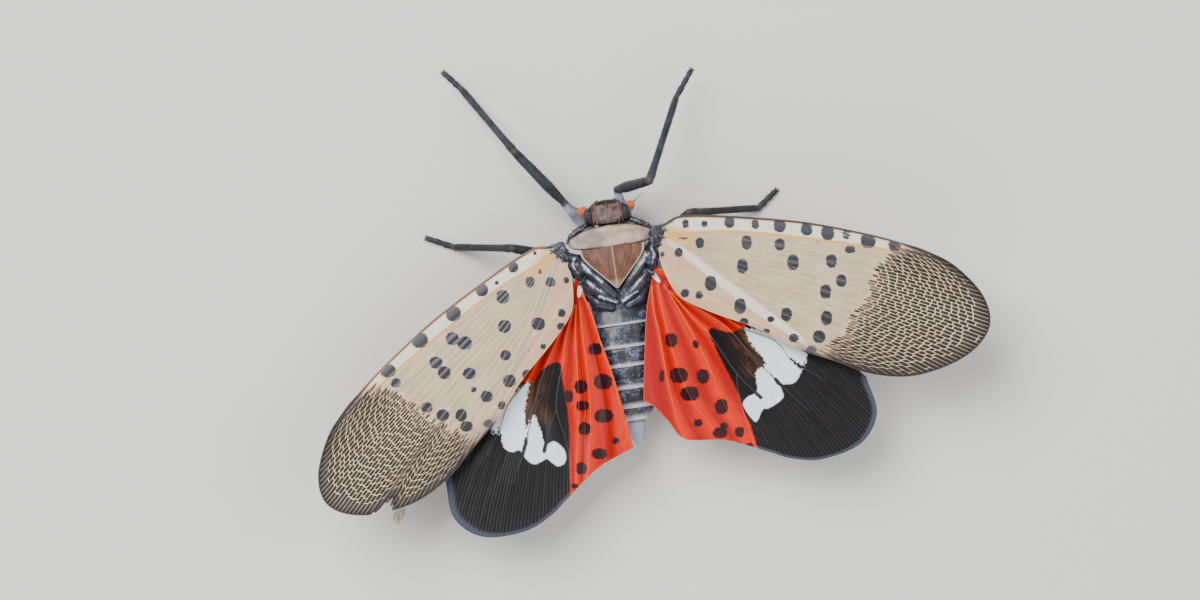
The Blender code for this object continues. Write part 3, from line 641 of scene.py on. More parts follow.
def net_lines(wing, pitch):
    """Margin shares of the veins that reach the margin, evenly spaced across their own direction."""
    shares = np.linspace(0.0, 1.0, 401)
    rim = wing.flat(shares, 1.0)
    course = rim - wing.flat(shares, 0.97)
    course /= np.linalg.norm(course, axis=-1, keepdims=True)
    step = np.diff(rim, axis=0)
    crossed = np.abs(step[:, 0] * course[1:, 1] - step[:, 1] * course[1:, 0])
    total = np.concatenate(([0.0], np.cumsum(crossed)))
    count = round(total[-1] / pitch)
    return np.interp(np.linspace(0.0, total[-1], count + 1), total, shares)


def vein_course(index, lines, start, steps):
    """A vein's line and u from where it forks off its parent out to the margin."""
    u = np.linspace(start, 0.998, steps)
    parent = index - index % 12 if index % 12 == 6 else (index - 3 if index % 3 == 0 else index - index % 3)
    own = np.full(steps, lines[index])
    if index % 12:
        own = lines[parent] + (lines[index] - lines[parent]) * smooth((u - start) / 0.07)
    return own, u


def build_forewing(side):
    """One forewing: its sheet, its veins, and the dark panes of its net."""
    wing = Forewing(side, FOREWING_POSES[side], FOREWING)
    label = SIDE_NAMES[side]
    chance = random.Random(40 + side)
    spots = FOREWING_SPOTS[side]
    lines = net_lines(wing, ROW_PITCH)
    shares = np.interp(np.linspace(0, len(lines) - 1, 3 * len(lines) - 2), np.arange(len(lines)), lines)
    u = np.linspace(0.0, 1.0, 221)[:, None]
    grid = wing.flat(shares[None, :], u)
    mesh = closed_sheet("forewing_" + label, wing.raise_flat(grid, SHEET_HALF), wing.raise_flat(grid, -SHEET_HALF))
    flat = grid.reshape(-1, 2)
    rows = np.broadcast_to(np.interp(shares, lines, np.arange(len(lines)) / 3.0)[None, :], grid.shape[:2]).ravel()
    values = forewing_values(wing, flat, spots)
    values["row"] = rows
    values["vein"] = np.zeros(len(flat))
    for name, column in values.items():
        store(mesh, name, np.concatenate((column, column)))
    wing_map(mesh, flat)
    add_piece("forewing_" + label, mesh, forewing_finish, ["forewing_" + label])

    # Where each row between two veins enters the net
    probe = np.linspace(0.3, 1.0, 200)
    enters = []
    for first, second in zip(lines, lines[1:]):
        inside = line_distance(wing.flat((first + second) / 2, probe), Path(NET_EDGES[side]).points) > 0.0
        enters.append(float(probe[np.argmax(inside)]) + chance.uniform(-0.012, 0.012) if inside.any() else 1.0)

    runs, flats = [], []
    for index in range(len(lines)):
        near = min(enters[max(index - 1, 0)], enters[min(index, len(enters) - 1)])
        if index % 12 == 0:
            start = 0.03
        elif index % 6 == 0:
            start = chance.uniform(0.10, 0.18)
        elif index % 3 == 0:
            start = chance.uniform(0.22, 0.40)
        else:
            start = near - 0.035
        own, out = vein_course(index, lines, start, max(int((1 - start) * 110), 12))
        flat = wing.flat(own, out)
        runs.append((wing.raise_flat(flat), VEIN_RADIUS * np.interp(out, (start, start + 0.1), (0.75, 1.0))))
        flats.append(flat)
    for course, radius in ((COSTAL_VEIN, 0.075), (CLAVAL_VEIN, 0.06),
                           ((LEFT_SUTURE if side == LEFT else SUTURE)[:-1], 0.05)):
        flat = Path(course).at(np.linspace(0, 1, 90))
        runs.append((wing.raise_flat(flat), radius))
        flats.append(flat)
    edge_flat = np.concatenate((wing.leading.at(np.linspace(0, 1, 80)), wing.flat(np.linspace(0, 1, 240)[1:], 1.0)))
    edge_radii = np.interp(np.arange(len(edge_flat)), (0, 50, 100, 318), (0.085, 0.055, 0.045, 0.032))
    runs.append((wing.raise_flat(edge_flat), edge_radii))
    flats.append(edge_flat)
    trail_flat = wing.trailing.at(np.linspace(0, 1, 80))
    runs.append((wing.raise_flat(trail_flat), 0.045))
    flats.append(trail_flat)

    # Panes are drawn between the veins of a row, with a cross vein in each gap
    sides_a, sides_b, out, narrow, fades, counts = [], [], [], [], [], []
    for first, second, enter in zip(lines, lines[1:], enters):
        length = float(np.linalg.norm(wing.flat((first + second) / 2, 1.0) - wing.flat((first + second) / 2, 0.9))) * 10
        place, stop = enter, 1.0 - 0.06 / length
        while place < stop - 0.2 / length:
            long_rim = (1 - place) * length < 1.5
            reach = chance.uniform(0.9, 1.6) if long_rim else chance.uniform(*NET_ROUNDS)
            end = min(place + reach / length, stop)
            if stop - end < 0.3 / length:
                end = stop
            round_off = min(0.05 / length, (end - place) / 3)
            inner = np.linspace(place + round_off, end - round_off, max(2, int((end - place) * length / 0.35) + 1))
            stations = [place, *inner, end]
            out.extend(stations)
            narrow.extend([0.55, *[1.0] * len(inner), 0.55])
            sides_a.extend([first] * len(stations))
            sides_b.extend([second] * len(stations))
            young = max(0.0, 1.0 - (place - enter) * length / 0.8)
            fades.extend([young * chance.uniform(0.0, 0.9)] * len(stations))
            counts.append(len(stations))
            if end < stop:
                cross = wing.flat(np.array([first, second]), end + 0.038 / length + chance.uniform(-0.02, 0.02) / length)
                runs.append((wing.raise_flat(cross), VEIN_RADIUS * 0.9))
                flats.append(cross)
            place = end + 0.075 / length
    if side == LEFT:
        share = np.linspace(0, 1, 10)
        flap_root, flap_end = Path(FLAP_ROOT), Path(FLAP_END)
        for strand in np.linspace(0.0, 1.0, 10):
            start, end = flap_root.at(strand), flap_end.at(strand)
            bend = chance.uniform(-0.10, 0.10) * np.sin(share * 3)
            strand_flat = start + (end - start) * share[:, None] * chance.uniform(0.55, 1.0)
            strand_flat += np.stack((bend, bend * 0.4), 1)
            runs.append((wing.raise_flat(strand_flat), np.linspace(0.075, 0.035, 10)))
            flats.append(strand_flat)
    vein_mesh = rib_mesh("forewing_veins_" + label, runs, forewing_finish)
    shape_values(wing, vein_mesh, spots)
    add_piece("forewing_veins_" + label, vein_mesh, forewing_finish)

    first, second, out, narrow = (np.array(values) for values in (sides_a, sides_b, out, narrow))
    a, b = wing.flat(first, out), wing.flat(second, out)
    pitch = np.linalg.norm(b - a, axis=-1)
    inset = np.clip(VEIN_RADIUS * 0.8 / pitch, 0.0, 0.3)
    inset = 0.5 - (0.5 - inset) * narrow
    near_a, near_b = a + (b - a) * inset[:, None], b + (a - b) * inset[:, None]
    thick = SHEET_HALF + 0.008
    corners = np.stack([wing.raise_flat(edge, lift) for lift in (thick, -thick) for edge in (near_a, near_b)], 1)
    faces, first = [], 0
    for count in counts:
        base = 4 * first
        for i in range(count - 1):
            here, there = base + 4 * i, base + 4 * i + 4
            for p, q in ((0, 1), (1, 3), (3, 2), (2, 0)):
                faces.append((here + p, here + q, there + q, there + p))
        last = base + 4 * (count - 1)
        faces += [(base, base + 2, base + 3, base + 1), (last, last + 1, last + 3, last + 2)]
        first += count
    pane_mesh = new_mesh("net_panes_" + label, corners.reshape(-1, 3), faces)
    face_outwards(pane_mesh)
    middle = np.repeat((a + b) / 2, 4, axis=0)
    store(pane_mesh, "flat", np.concatenate((middle, np.zeros((len(middle), 1))), 1))
    store(pane_mesh, "pane_fade", np.repeat(fades, 4))
    add_piece("net_panes_" + label, pane_mesh, pane_finish)
    return wing


def shape_values(wing, mesh, spots):
    """Stores the finish's values on veins, read back from where each point lies over the wing."""
    flat = wing.lay_flat(vertex_places(mesh))
    for name, column in forewing_values(wing, flat, spots).items():
        store(mesh, name, column)
    store(mesh, "vein", np.ones(len(flat)))
    store(mesh, "row", np.zeros(len(flat)))


for wing_side in (LEFT, RIGHT):
    build_forewing(wing_side)

# Hindwings
# Thin pleated hindwings, scarlet with black spots at the base, with a ragged white patch across
# the middle and a black lobe whose fine silvery veins fan out to a blue-grey rim. Each is one
# folded sheet, with ribs along its veins.
HINDWING_ROOT = ((2.62, 2.30), (2.52, 3.15))
HINDWING_POSES = {LEFT: ((2.60, 2.90), 73.5, 1.0), RIGHT: ((2.60, 2.70), 60.0, 1.0)}
HINDWING_LEADING = ((3.6, 3.1), (9.0, 5.75), (12.65, 6.85), (15.2, 7.35))
HINDWING_MARGIN = ((15.2, 7.35), (17.6, 6.40), (18.6, 4.20), (17.8, 1.35), (16.4, -0.35), (15.0, -1.35),
                   (12.6, -3.15), (10.75, -5.40))
JUGAL_MARGIN = ((9.0, -5.58), (7.6, -5.72), (6.75, -6.05))
HINDWING_TRAILING = {
    LEFT: ((2.4, -1.30), (5.6, -3.05), (8.4, -4.35), (10.75, -5.40)),
    RIGHT: ((1.75, -1.85), (3.46, -3.35), (5.35, -4.92), (6.75, -6.05)),
}
HINDWING_SHARES = ((0.12, 2.2), (0.30, 5.6), (0.46, 9.0), (0.56, 11.5), (0.70, 14.0))
HINDWING_Z = 4.40
HINDWING_RISE = 0.045
HINDWING_ROOT_LIFT = 0.50
PLEAT_HEIGHT = 0.19
RIPPLE_HEIGHT = 0.022
FINE_PITCH = 0.25
HINDWING_VEINS = {
    LEFT: (((.5, -.2), (1.9, -1.1), (4.4, -2.3), (6.0, -3.2), (8.1, -4.1), (10.0, -4.9), (10.8, -5.3)),
           ((1.2, -.1), (3.2, -.6), (6.3, -1.5), (9.1, -2.1), (11.6, -2.4), (13.5, -2.5)),
           ((1.4, .1), (2.4, 0), (4.7, -.4), (8.1, -1.1), (10.5, -1.4), (14.1, -1.8)),
           ((1.4, .2), (3.7, .5), (5.6, .4), (7.1, .5), (8.9, .4), (10.6, -.4), (11.8, -.9), (14.6, -1.5)),
           ((2.4, .6), (5.2, 1.4), (7.3, 1.8), (9.3, 2.0), (11.8, 2.2), (14.6, 2.6)),
           ((4.0, 1.8), (6.9, 2.6), (9.1, 3.8), (11.1, 4.2), (13.6, 5.0)),
           ((8.9, .4), (10.6, .7), (12.0, .8))),
    RIGHT: (((.70, -.62), (2.25, -1.60), (3.73, -2.29), (5.59, -3.28), (7.81, -4.39), (9.55, -5.14), (10.71, -5.43)),
            ((1.00, -.24), (2.63, -1.12), (4.92, -2.14), (7.20, -2.99), (9.07, -3.37), (10.56, -3.45), (12.29, -3.41)),
            ((1.43, .12), (4.08, -.25), (5.86, -.55), (7.73, -.93), (9.72, -1.55), (11.32, -1.88), (13.95, -2.08)),
            ((1.78, .16), (4.53, .33), (5.90, .50), (9.31, .31), (11.71, .60)),
            ((2.0, .30), (3.27, .69), (4.85, 1.32), (6.61, 1.80), (9.54, 1.99), (11.77, 2.26), (14.58, 2.69)),
            ((4.0, 1.7), (6.87, 2.53), (9.14, 3.85), (11.12, 4.00), (13.60, 5.00)),
            ((9.31, .31), (11.00, -.70), (14.27, -1.86))),
}
# The scarlet ends at this line, and the white patch lies inside its own closed one
SCARLET_EDGES = {
    LEFT: ((7.4, 4.4), (7.3, 2.4), (6.3, 1.8), (5.6, .7), (7.0, .2), (8.9, -.4), (10.6, -.8), (11.8, -1.0),
           (14.7, -1.5), (17.5, -2.0)),
    RIGHT: ((7.1, 4.6), (7.02, 2.72), (6.71, 1.72), (5.62, .72), (7.07, .21), (8.67, -.12), (10.27, -.44),
            (11.73, -.96), (12.80, -1.18), (14.35, -1.77), (17.0, -2.6)),
}
WHITE_PATCHES = {
    LEFT: ((7.2, 2.5), (8.3, 3.6), (10.4, 4.6), (11.2, 4.6), (11.3, 4.0), (12.1, 3.7), (12.4, 3.1), (12.2, 2.5),
           (12.8, 1.9), (13.0, 1.3), (12.6, .7), (12.5, .5), (12.9, -.3), (12.5, -.8), (11.7, -.6), (11.2, .2),
           (11.5, .8), (10.5, 1.3), (9.6, 1.9), (10.5, 2.3), (9.6, 2.6), (8.6, 2.6)),
    RIGHT: ((7.02, 2.72), (8.89, 4.3), (11.01, 5.2), (12.32, 3.37), (11.94, 2.28), (12.68, 1.85), (12.66, .63),
            (12.46, .17), (12.83, -.74), (11.44, -.73), (11.11, -.17), (11.17, .71), (10.04, 1.44), (10.01, 2.39),
            (8.18, 2.43)),
}
HINDWING_SPOTS = {
    LEFT: ((4.3, -1.7, .49, .43), (6.5, -2.6, .65, .55), (7.1, -1.1, .46, .49), (8.4, -1.4, .46, .37),
           (8.9, -3.0, .67, .49), (10.0, -1.8, .43, .46), (7.9, -.3, .37, .43), (10.5, -4.1, .24, .24),
           (11.6, -3.1, .55, .39), (12.8, -2.0, .40, .45), (14.1, -1.7, .30, .18), (13.6, -2.9, .37, .15)),
    RIGHT: ((4.6, -1.9, .43, .51), (5.9, -.7, .24, .27), (6.9, -3.0, .63, .55), (6.2, -4.0, .18, .46),
            (8.0, -1.7, .45, .51), (8.4, -3.2, .67, .51), (10.5, -2.0, .46, .55), (10.4, -4.0, .30, .27),
            (11.7, -2.7, .30, .24), (11.9, -3.2, .51, .39), (12.7, -2.1, .34, .39), (13.3, -2.8, .37, .17),
            (13.9, -2.1, .27, .18)),
}

# The crimson is painted shade on the right hindwing's jugal lobe
SCARLET, SCARLET_DEEP, SHADED_CRIMSON = (0.76, 0.018, 0.0), (0.36, 0.003, 0.0), (0.42, 0.002, 0.003)
SCARLET_VEIN = (0.86, 0.10, 0.015)
LOBE_BLACK, LOBE_BROWN, BAND_BROWN = (0.0035, 0.0035, 0.0045), (0.008, 0.006, 0.006), (0.085, 0.040, 0.017)
BAND_DARK, BAND_RED = (0.022, 0.011, 0.008), (0.20, 0.025, 0.010)
PATCH_WHITE, PATCH_BLUE = (0.86, 0.91, 0.93), (0.66, 0.77, 0.84)
RIM_BLUE, LOBE_VEIN = (0.050, 0.066, 0.098), (0.060, 0.058, 0.068)

hindwing_finish = Finish("hindwing", Roughness=0.45, Specular_IOR_Level=0.22)
f = hindwing_finish
ragged = f.noise(f.on_wing((0.22, 0.22, 1.0)), 5.0, 0.65) - 0.5
mottle = f.noise(f.on_wing((0.9, 0.45, 1.0)), 5.0, 0.6)
streak = f.noise(f.on_wing((2.2, 0.16, 1.0)))
scarlet = f.attribute("scarlet") + ragged * 0.25
white = f.attribute("white") + ragged * f.attribute("frayed")
spot = f.attribute("spot") + ragged * 0.32
pleat = f.attribute("pleat")
vein = f.attribute("vein")
rim = f.attribute("rim")
# Painted shade: deeper scarlet in the pleats' valleys and brighter scarlet on their ridges, for light falling on the
# folds
red = f.mix(pleat.between(-1.0, 0.7), SCARLET_DEEP, SCARLET)
red = f.mix(mottle.between(0.35, 0.7) * 0.35, red, SCARLET_DEEP)
# Painted shade: the right wing's jugal lobe, behind its first vein, turns darker crimson as if sloping away from the
# light
red = f.mix(f.attribute("jugal").between(-0.1, 0.4), red, SHADED_CRIMSON)
red = f.mix(vein.between(0.0, 1.0) * 0.85, red, SCARLET_VEIN)
red = f.mix(streak.between(0.55, 0.8) * 0.30, red, SCARLET_VEIN)
lobe = f.mix(mottle.between(0.3, 0.7), LOBE_BLACK, LOBE_BROWN)
band = f.mix(streak.between(0.38, 0.55), BAND_BROWN, f.mix(mottle.between(0.52, 0.66), BAND_DARK, BAND_RED))
lobe = f.mix(f.attribute("band") * 0.9, lobe, band)
lobe = f.mix((f.attribute("bloom") + streak * 0.5).between(0.45, 1.15), lobe, RIM_BLUE)
lobe = f.mix(vein * 0.7, lobe, LOBE_VEIN)
patch = f.mix(mottle.between(0.3, 0.75), PATCH_WHITE, PATCH_BLUE)
patch = f.mix(vein * f.attribute("main") * 0.8, patch, (0.16, 0.09, 0.045))
inked = f.mix(vein * 0.4, f.mix(mottle.between(0.3, 0.6), (0.008, 0.003, 0.005), (0.035, 0.006, 0.010)), (0.22, 0.06, 0.05))
surface = f.mix(scarlet.between(-0.07, 0.07), lobe, red)
surface = f.mix(spot.between(0.05, -0.05) * scarlet.between(-0.05, 0.05), surface, inked)
surface = f.mix(white.between(-0.06, 0.06), surface, patch)
surface = f.mix((f.attribute("root") + ragged * 0.5).between(0.3, 0.7), surface, PATCH_WHITE)
f.show(surface, 0.50 - mottle * 0.2, streak * 0.7 + ragged * 0.5, 0.012)


class Hindwing(Wing):
    """A hindwing's pleats rise to its veins and sink between them."""

    def __init__(self, side):
        pose = HINDWING_POSES[side]
        (root_x, root_y), sweep, seen = pose
        cos, sin = math.cos(math.radians(sweep)), math.sin(math.radians(sweep))
        turned = [((x - root_x) * cos + (y - root_y) * sin, (x - root_x) * sin - (y - root_y) * cos)
                  for x, y in HINDWING_ROOT]
        margin = HINDWING_MARGIN + (JUGAL_MARGIN if side == RIGHT else ())
        veins = HINDWING_SHARES + (((0.86, 17.5),) if side == RIGHT else ())
        super().__init__(side, pose, {"leading": (turned[0], *HINDWING_LEADING), "margin": margin,
                                      "trailing": (turned[1], *HINDWING_TRAILING[side]), "veins": veins})
        self.courses = [Path(course) for course in HINDWING_VEINS[side]]

    # The pleats' phase: it sets the folds' height and also the painted shade of the pleats in the finish
    def pleat(self, flat):
        """1 on a vein and -1 midway between two."""
        gaps = [np.abs(line_distance(flat, course.points[::4])) for course in [*self.courses[:6], self.leading]]
        gaps = np.sort(np.stack(gaps), 0)
        return 1.0 - 4.0 * gaps[0] / (gaps[0] + gaps[1] + 1e-6)

    def height(self, flat):
        out = np.hypot(flat[..., 0], flat[..., 1])
        reach = np.clip(out / 7.0, 0.0, 1.0) * (1.0 - 0.8 * smooth((out - 8.5) / 4.0))
        level = self.stand(flat, np.zeros(flat.shape[:-1]))
        lift = HINDWING_ROOT_LIFT * smooth((2.70 - np.abs(level[..., 0])) / 1.20)
        pleats = PLEAT_HEIGHT * reach * self.pleat(flat)
        return HINDWING_Z + HINDWING_RISE * flat[..., 0] + lift + pleats

    def raise_flat(self, flat, lift=0.0):
        return self.stand(flat, self.height(flat) + lift)


def hindwing_values(wing, flat):
    """What the hindwing's finish reads, for each point of a mesh."""
    side = wing.side
    white = line_distance(flat, Path(WHITE_PATCHES[side] + WHITE_PATCHES[side][:1], 6).points[:-1], True)
    scarlet = -line_distance(flat, Path(SCARLET_EDGES[side], 6).points)
    rim = np.abs(line_distance(flat, wing.margin.points))
    above = line_distance(flat, wing.courses[3].points[::4])
    bloom_width = 0.42 if side == LEFT else 0.30
    corner = smooth((flat[..., 1] - 2.0) / 4.0) * bloom_width * 1.2
    cleft = np.min([np.abs(line_distance(flat, course.points[::4])) for course in wing.courses[3:]], 0)
    parted = smooth((flat[..., 0] - 10.4) / 1.2) * 0.14
    return {
        "flat": np.concatenate((flat, np.zeros((*flat.shape[:-1], 1))), -1),
        "white": np.where(parted > 0.01, np.minimum(white, cleft - parted), white),
        "frayed": 0.15 + 0.75 * smooth((11.2 - flat[..., 0] + 0.4 * flat[..., 1]) / 1.5),
        "scarlet": scarlet,
        "spot": spot_distance(wing, flat, HINDWING_SPOTS[side]),
        "rim": rim,
        "band": np.exp(-(np.minimum(white, 0.0) / 1.1) ** 2) * smooth(above / 0.8) * smooth((10.6 - flat[..., 0]) / 1.0),
        "bloom": smooth(1.0 - rim / (bloom_width + corner)),
        # Where the jugal lobe's painted shade falls; it stays off the left wing
        "jugal": -line_distance(flat, wing.courses[0].points[::4]) - (9.0 if side == LEFT else 0.0),
        # Read by the finish as the painted shade of the pleats
        "pleat": wing.pleat(flat),
        "root": smooth((0.85 - np.hypot(flat[..., 0] - 0.25, flat[..., 1] * 3.6)) / 0.5),
    }


def build_hindwing(side):
    """One hindwing: its pleated sheet, its main veins and its fan of fine veins."""
    wing = Hindwing(side)
    label = SIDE_NAMES[side]
    chance = random.Random(70 + side)
    lines = net_lines(wing, FINE_PITCH)
    shares = np.interp(np.linspace(0, len(lines) - 1, 3 * len(lines) - 2), np.arange(len(lines)), lines)
    u = np.linspace(0.0, 1.0, 151)[:, None]
    grid = wing.flat(shares[None, :], u)
    values = hindwing_values(wing, grid)
    row = np.interp(shares, lines, np.arange(len(lines)))[None, :]
    ripple = RIPPLE_HEIGHT * np.cos(2 * math.pi * row) * smooth((u - 0.45) / 0.4) * smooth(-values["scarlet"] / 0.5)
    mesh = closed_sheet("hindwing_" + label, wing.raise_flat(grid, SHEET_HALF + ripple),
                        wing.raise_flat(grid, ripple - SHEET_HALF))
    flat = grid.reshape(-1, 2)
    values = {name: column.reshape(len(flat), -1).squeeze() for name, column in values.items()}
    for name, column in (*values.items(), ("vein", np.zeros(len(flat))), ("main", np.zeros(len(flat)))):
        store(mesh, name, np.concatenate((column, column)))
    wing_map(mesh, flat)
    add_piece("hindwing_" + label, mesh, hindwing_finish, ["hindwing_" + label])

    runs, flats, mains = [], [], []
    for course, radius in zip(wing.courses, (0.060, 0.055, 0.055, 0.060, 0.060, 0.055, 0.045)):
        run = course.at(np.linspace(0, 1, 110))
        runs.append((wing.raise_flat(run), radius * np.linspace(1.15, 0.6, 110)))
        flats.append(run)
        mains.append(np.ones(110))
    for path, radius in ((wing.leading, 0.07), (wing.margin, 0.030), (wing.trailing, 0.030)):
        run = path.at(np.linspace(0, 1, 140))
        runs.append((wing.raise_flat(run), radius))
        flats.append(run)
        mains.append(np.zeros(140))
    for index, line in enumerate(lines[1:-1]):
        start = (0.66, 0.88, 0.82, 0.74, 0.86, 0.80)[index % 6] + chance.uniform(-0.05, 0.04)
        out = np.linspace(start, 0.995, 40)
        bent = np.clip(line + chance.uniform(-0.004, 0.004) * smooth((0.95 - out) / 0.2), 0.0, 1.0)
        run = wing.flat(bent, out)
        dark = line_distance(run, Path(SCARLET_EDGES[side], 6).points) > 0.15
        if dark.sum() < 8:
            continue
        run = run[dark]
        runs.append((wing.raise_flat(run, RIPPLE_HEIGHT), np.linspace(0.013, 0.026, len(run))))
        flats.append(run)
        mains.append(np.zeros(len(run)))
    vein_mesh = rib_mesh("hindwing_veins_" + label, runs, hindwing_finish, main_vein=mains)
    points = vertex_places(vein_mesh)
    flat = wing.lay_flat(points)
    for name, column in hindwing_values(wing, flat).items():
        store(vein_mesh, name, column)
    store(vein_mesh, "vein", np.ones(len(flat)))
    store(vein_mesh, "main", read_values(vein_mesh, "main_vein"))
    add_piece("hindwing_veins_" + label, vein_mesh, hindwing_finish)


for wing_side in (LEFT, RIGHT):
    build_hindwing(wing_side)

# Thorax, abdomen and wing bases
# A glossy blue-black trunk: two pairs of smooth lobes meet behind the mesonotum, six tergites
# overlap like roof tiles with a pale waxy hind margin each, and a lilac waxy tube ends the tail.
# Lofts, tubes and balls are melted into one skin, and the tergites' margins are part of it.
THORAX = ((0.72, 3.15, 2.05, 1.10, 1.05), (1.15, 3.15, 2.40, 1.32, 1.22), (2.50, 3.15, 2.40, 1.34, 1.25),
          (3.70, 3.15, 2.28, 1.36, 1.20), (4.30, 3.05, 2.10, 1.30, 1.10), (4.95, 2.95, 1.90, 1.20, 1.10))
TERGITE_REARS = (4.85, 6.04, 7.68, 9.05, 10.65, 12.03, 12.92)
TERGITE_HALF_WIDTHS = (2.30, 2.45, 2.42, 2.22, 1.95, 1.55, 0.95)
TERGITE_HALF_HEIGHTS = (1.35, 1.60, 1.66, 1.56, 1.40, 1.15, 0.75)
ABDOMEN_Z = 2.85
ANAL_TUBE = ((12.7, 2.85, .60, .50, .50), (13.3, 2.85, .62, .50, .50), (13.9, 2.85, .55, .45, .48),
             (14.4, 2.80, .38, .32, .36), (14.66, 2.77, .20, .18, .18))
WING_BASES = {LEFT: (3.66, 0.42), RIGHT: (3.28, -0.02)}
# Dark hinges from each wing base to the root of its forewing, as span and chord
WING_HINGES = (((-.50, .15), (0, .42), (.45, .74), (.80, 1.05)), ((-.50, .05), (.55, .22)), ((-.50, -.05), (.50, -.35)),
               ((-.40, -.20), (.42, -.90)))
TRUNK_VOXEL = 0.045
LIMB_VOXEL = 0.038


class Shape:
    """Closed lofts, tubes and balls in millimetres, to be melted into one skin."""

    def __init__(self):
        self.points, self.faces = [], []

    def rings(self, rings):
        """Joins rings of equal size into a tube with closed ends."""
        first, sides = len(self.points), len(rings[0])
        for ring in rings:
            self.points.extend(ring)
        for n in range(len(rings) - 1):
            low, high = first + n * sides, first + (n + 1) * sides
            for i in range(sides):
                j = (i + 1) % sides
                self.faces.append((low + i, low + j, high + j, high + i))
        last = first + (len(rings) - 1) * sides
        for start, ring in ((first, rings[0]), (last, rings[-1])):
            self.points.append(np.mean(ring, 0))
            pole = len(self.points) - 1
            for i in range(sides):
                self.faces.append((start + i, start + (i + 1) % sides, pole))

    def loft(self, sections, sides=48, power=2.4):
        """Superellipse sections along Y, each with its height, half width, rise and drop."""
        turn = np.linspace(0, 2 * math.pi, sides, endpoint=False)
        cos, sin = np.cos(turn), np.sin(turn)
        across = np.sign(cos) * np.abs(cos) ** (2 / power)
        rise = np.sign(sin) * np.abs(sin) ** (2 / power)
        self.rings([np.stack((half * across, np.full(sides, y), mid + np.where(rise > 0, up, down) * rise), 1)
                    for y, mid, half, up, down in sections])

    def tube(self, points, radii, sides=16, flat=1.0):
        """A tube along points, domed at both ends; flat squeezes it across."""
        points = np.array(points, float)
        radii = np.broadcast_to(np.asarray(radii, float), len(points))
        aims = np.gradient(points, axis=0)
        aims /= np.linalg.norm(aims, axis=1, keepdims=True)
        dome = np.radians((75, 50, 25))
        points = np.concatenate((points[0] - aims[0] * np.sin(dome)[:, None] * radii[0], points,
                                 points[-1] + aims[-1] * np.sin(dome[::-1])[:, None] * radii[-1]))
        radii = np.concatenate((np.cos(dome) * radii[0], radii, np.cos(dome[::-1]) * radii[-1]))
        aims = np.concatenate(([aims[0]] * 3, aims, [aims[-1]] * 3))
        turn = np.linspace(0, 2 * math.pi, sides, endpoint=False)[:, None]
        side = np.cross(aims[0], (0.0, 0.0, 1.0) if abs(aims[0][2]) < 0.9 else (1.0, 0.0, 0.0))
        rings = []
        for place, radius, aim in zip(points, radii, aims):
            side = side - aim * (side @ aim)
            side /= np.linalg.norm(side)
            rings.append(place + radius * (np.cos(turn) * side * flat + np.sin(turn) * np.cross(side, aim)))
        self.rings(rings)

    def ball(self, centre, radii, turn=0.0):
        """An ellipsoid, turned about the upright axis."""
        high = np.linspace(-math.pi / 2, math.pi / 2, 17)[1:-1]
        around = np.linspace(0, 2 * math.pi, 28, endpoint=False)
        cos, sin = math.cos(turn), math.sin(turn)
        rings = []
        for level in high:
            x, y = radii[0] * np.cos(level) * np.cos(around), radii[1] * np.cos(level) * np.sin(around)
            z = np.full(len(around), radii[2] * np.sin(level))
            rings.append(np.stack((x * cos - y * sin, x * sin + y * cos, z), 1) + centre)
        self.rings(rings)

    def skin(self, name, voxel, rounds=3):
        """One skin over everything."""
        mesh = bpy.data.meshes.new(name)
        mesh.from_pydata([list(map(float, point)) for point in self.points], [], self.faces)
        face_outwards(mesh)
        seed_object = bpy.data.objects.new(name, mesh)
        bpy.context.scene.collection.objects.link(seed_object)
        melt = seed_object.modifiers.new("melt", "REMESH")
        melt.mode = "VOXEL"
        melt.voxel_size = voxel
        even = seed_object.modifiers.new("even", "SMOOTH")
        even.factor = 0.5
        even.iterations = rounds
        graph = bpy.context.evaluated_depsgraph_get()
        melted = bpy.data.meshes.new_from_object(seed_object.evaluated_get(graph))
        bpy.data.objects.remove(seed_object)
        places = np.empty(len(melted.vertices) * 3)
        melted.vertices.foreach_get("co", places)
        melted.vertices.foreach_set("co", metres(places.reshape(-1, 3)).ravel())
        melted.update()
        return melted


def swell(mesh, lift):
    """Moves each point along its normal by lift millimetres."""
    normals = np.empty(len(mesh.vertices) * 3)
    mesh.vertices.foreach_get("normal", normals)
    places = vertex_places(mesh) + normals.reshape(-1, 3) * np.asarray(lift)[:, None]
    mesh.vertices.foreach_set("co", metres(places).ravel())
    mesh.update()


CUTICLE_BLUE, CUTICLE_BLACK = (0.016, 0.021, 0.046), (0.003, 0.004, 0.007)
# The glint white is painted highlight: the lamps' glints on the glossy trunk
GLINT_WHITE = (0.66, 0.72, 0.86)
WAX_BLUE, WAX_CREAM, WAX_LILAC = (0.42, 0.50, 0.66), (0.72, 0.66, 0.62), (0.52, 0.52, 0.66)

trunk_finish = Finish("trunk", Roughness=0.3, Coat_Roughness=0.12)
f = trunk_finish
cloud = f.noise(f.place((0.7, 0.7, 0.7)), 4.0, 0.6)
fleck = f.noise(f.place((0.10, 0.16, 0.10)), 4.0, 0.7)
wrinkle = f.noise(f.place((0.9, 0.10, 0.5)), 3.0, 0.5)
margin = f.attribute("margin") + (fleck - 0.5) * 0.10
wax = f.attribute("wax")
dark = f.mix(cloud.between(0.35, 0.65), CUTICLE_BLACK, CUTICLE_BLUE)
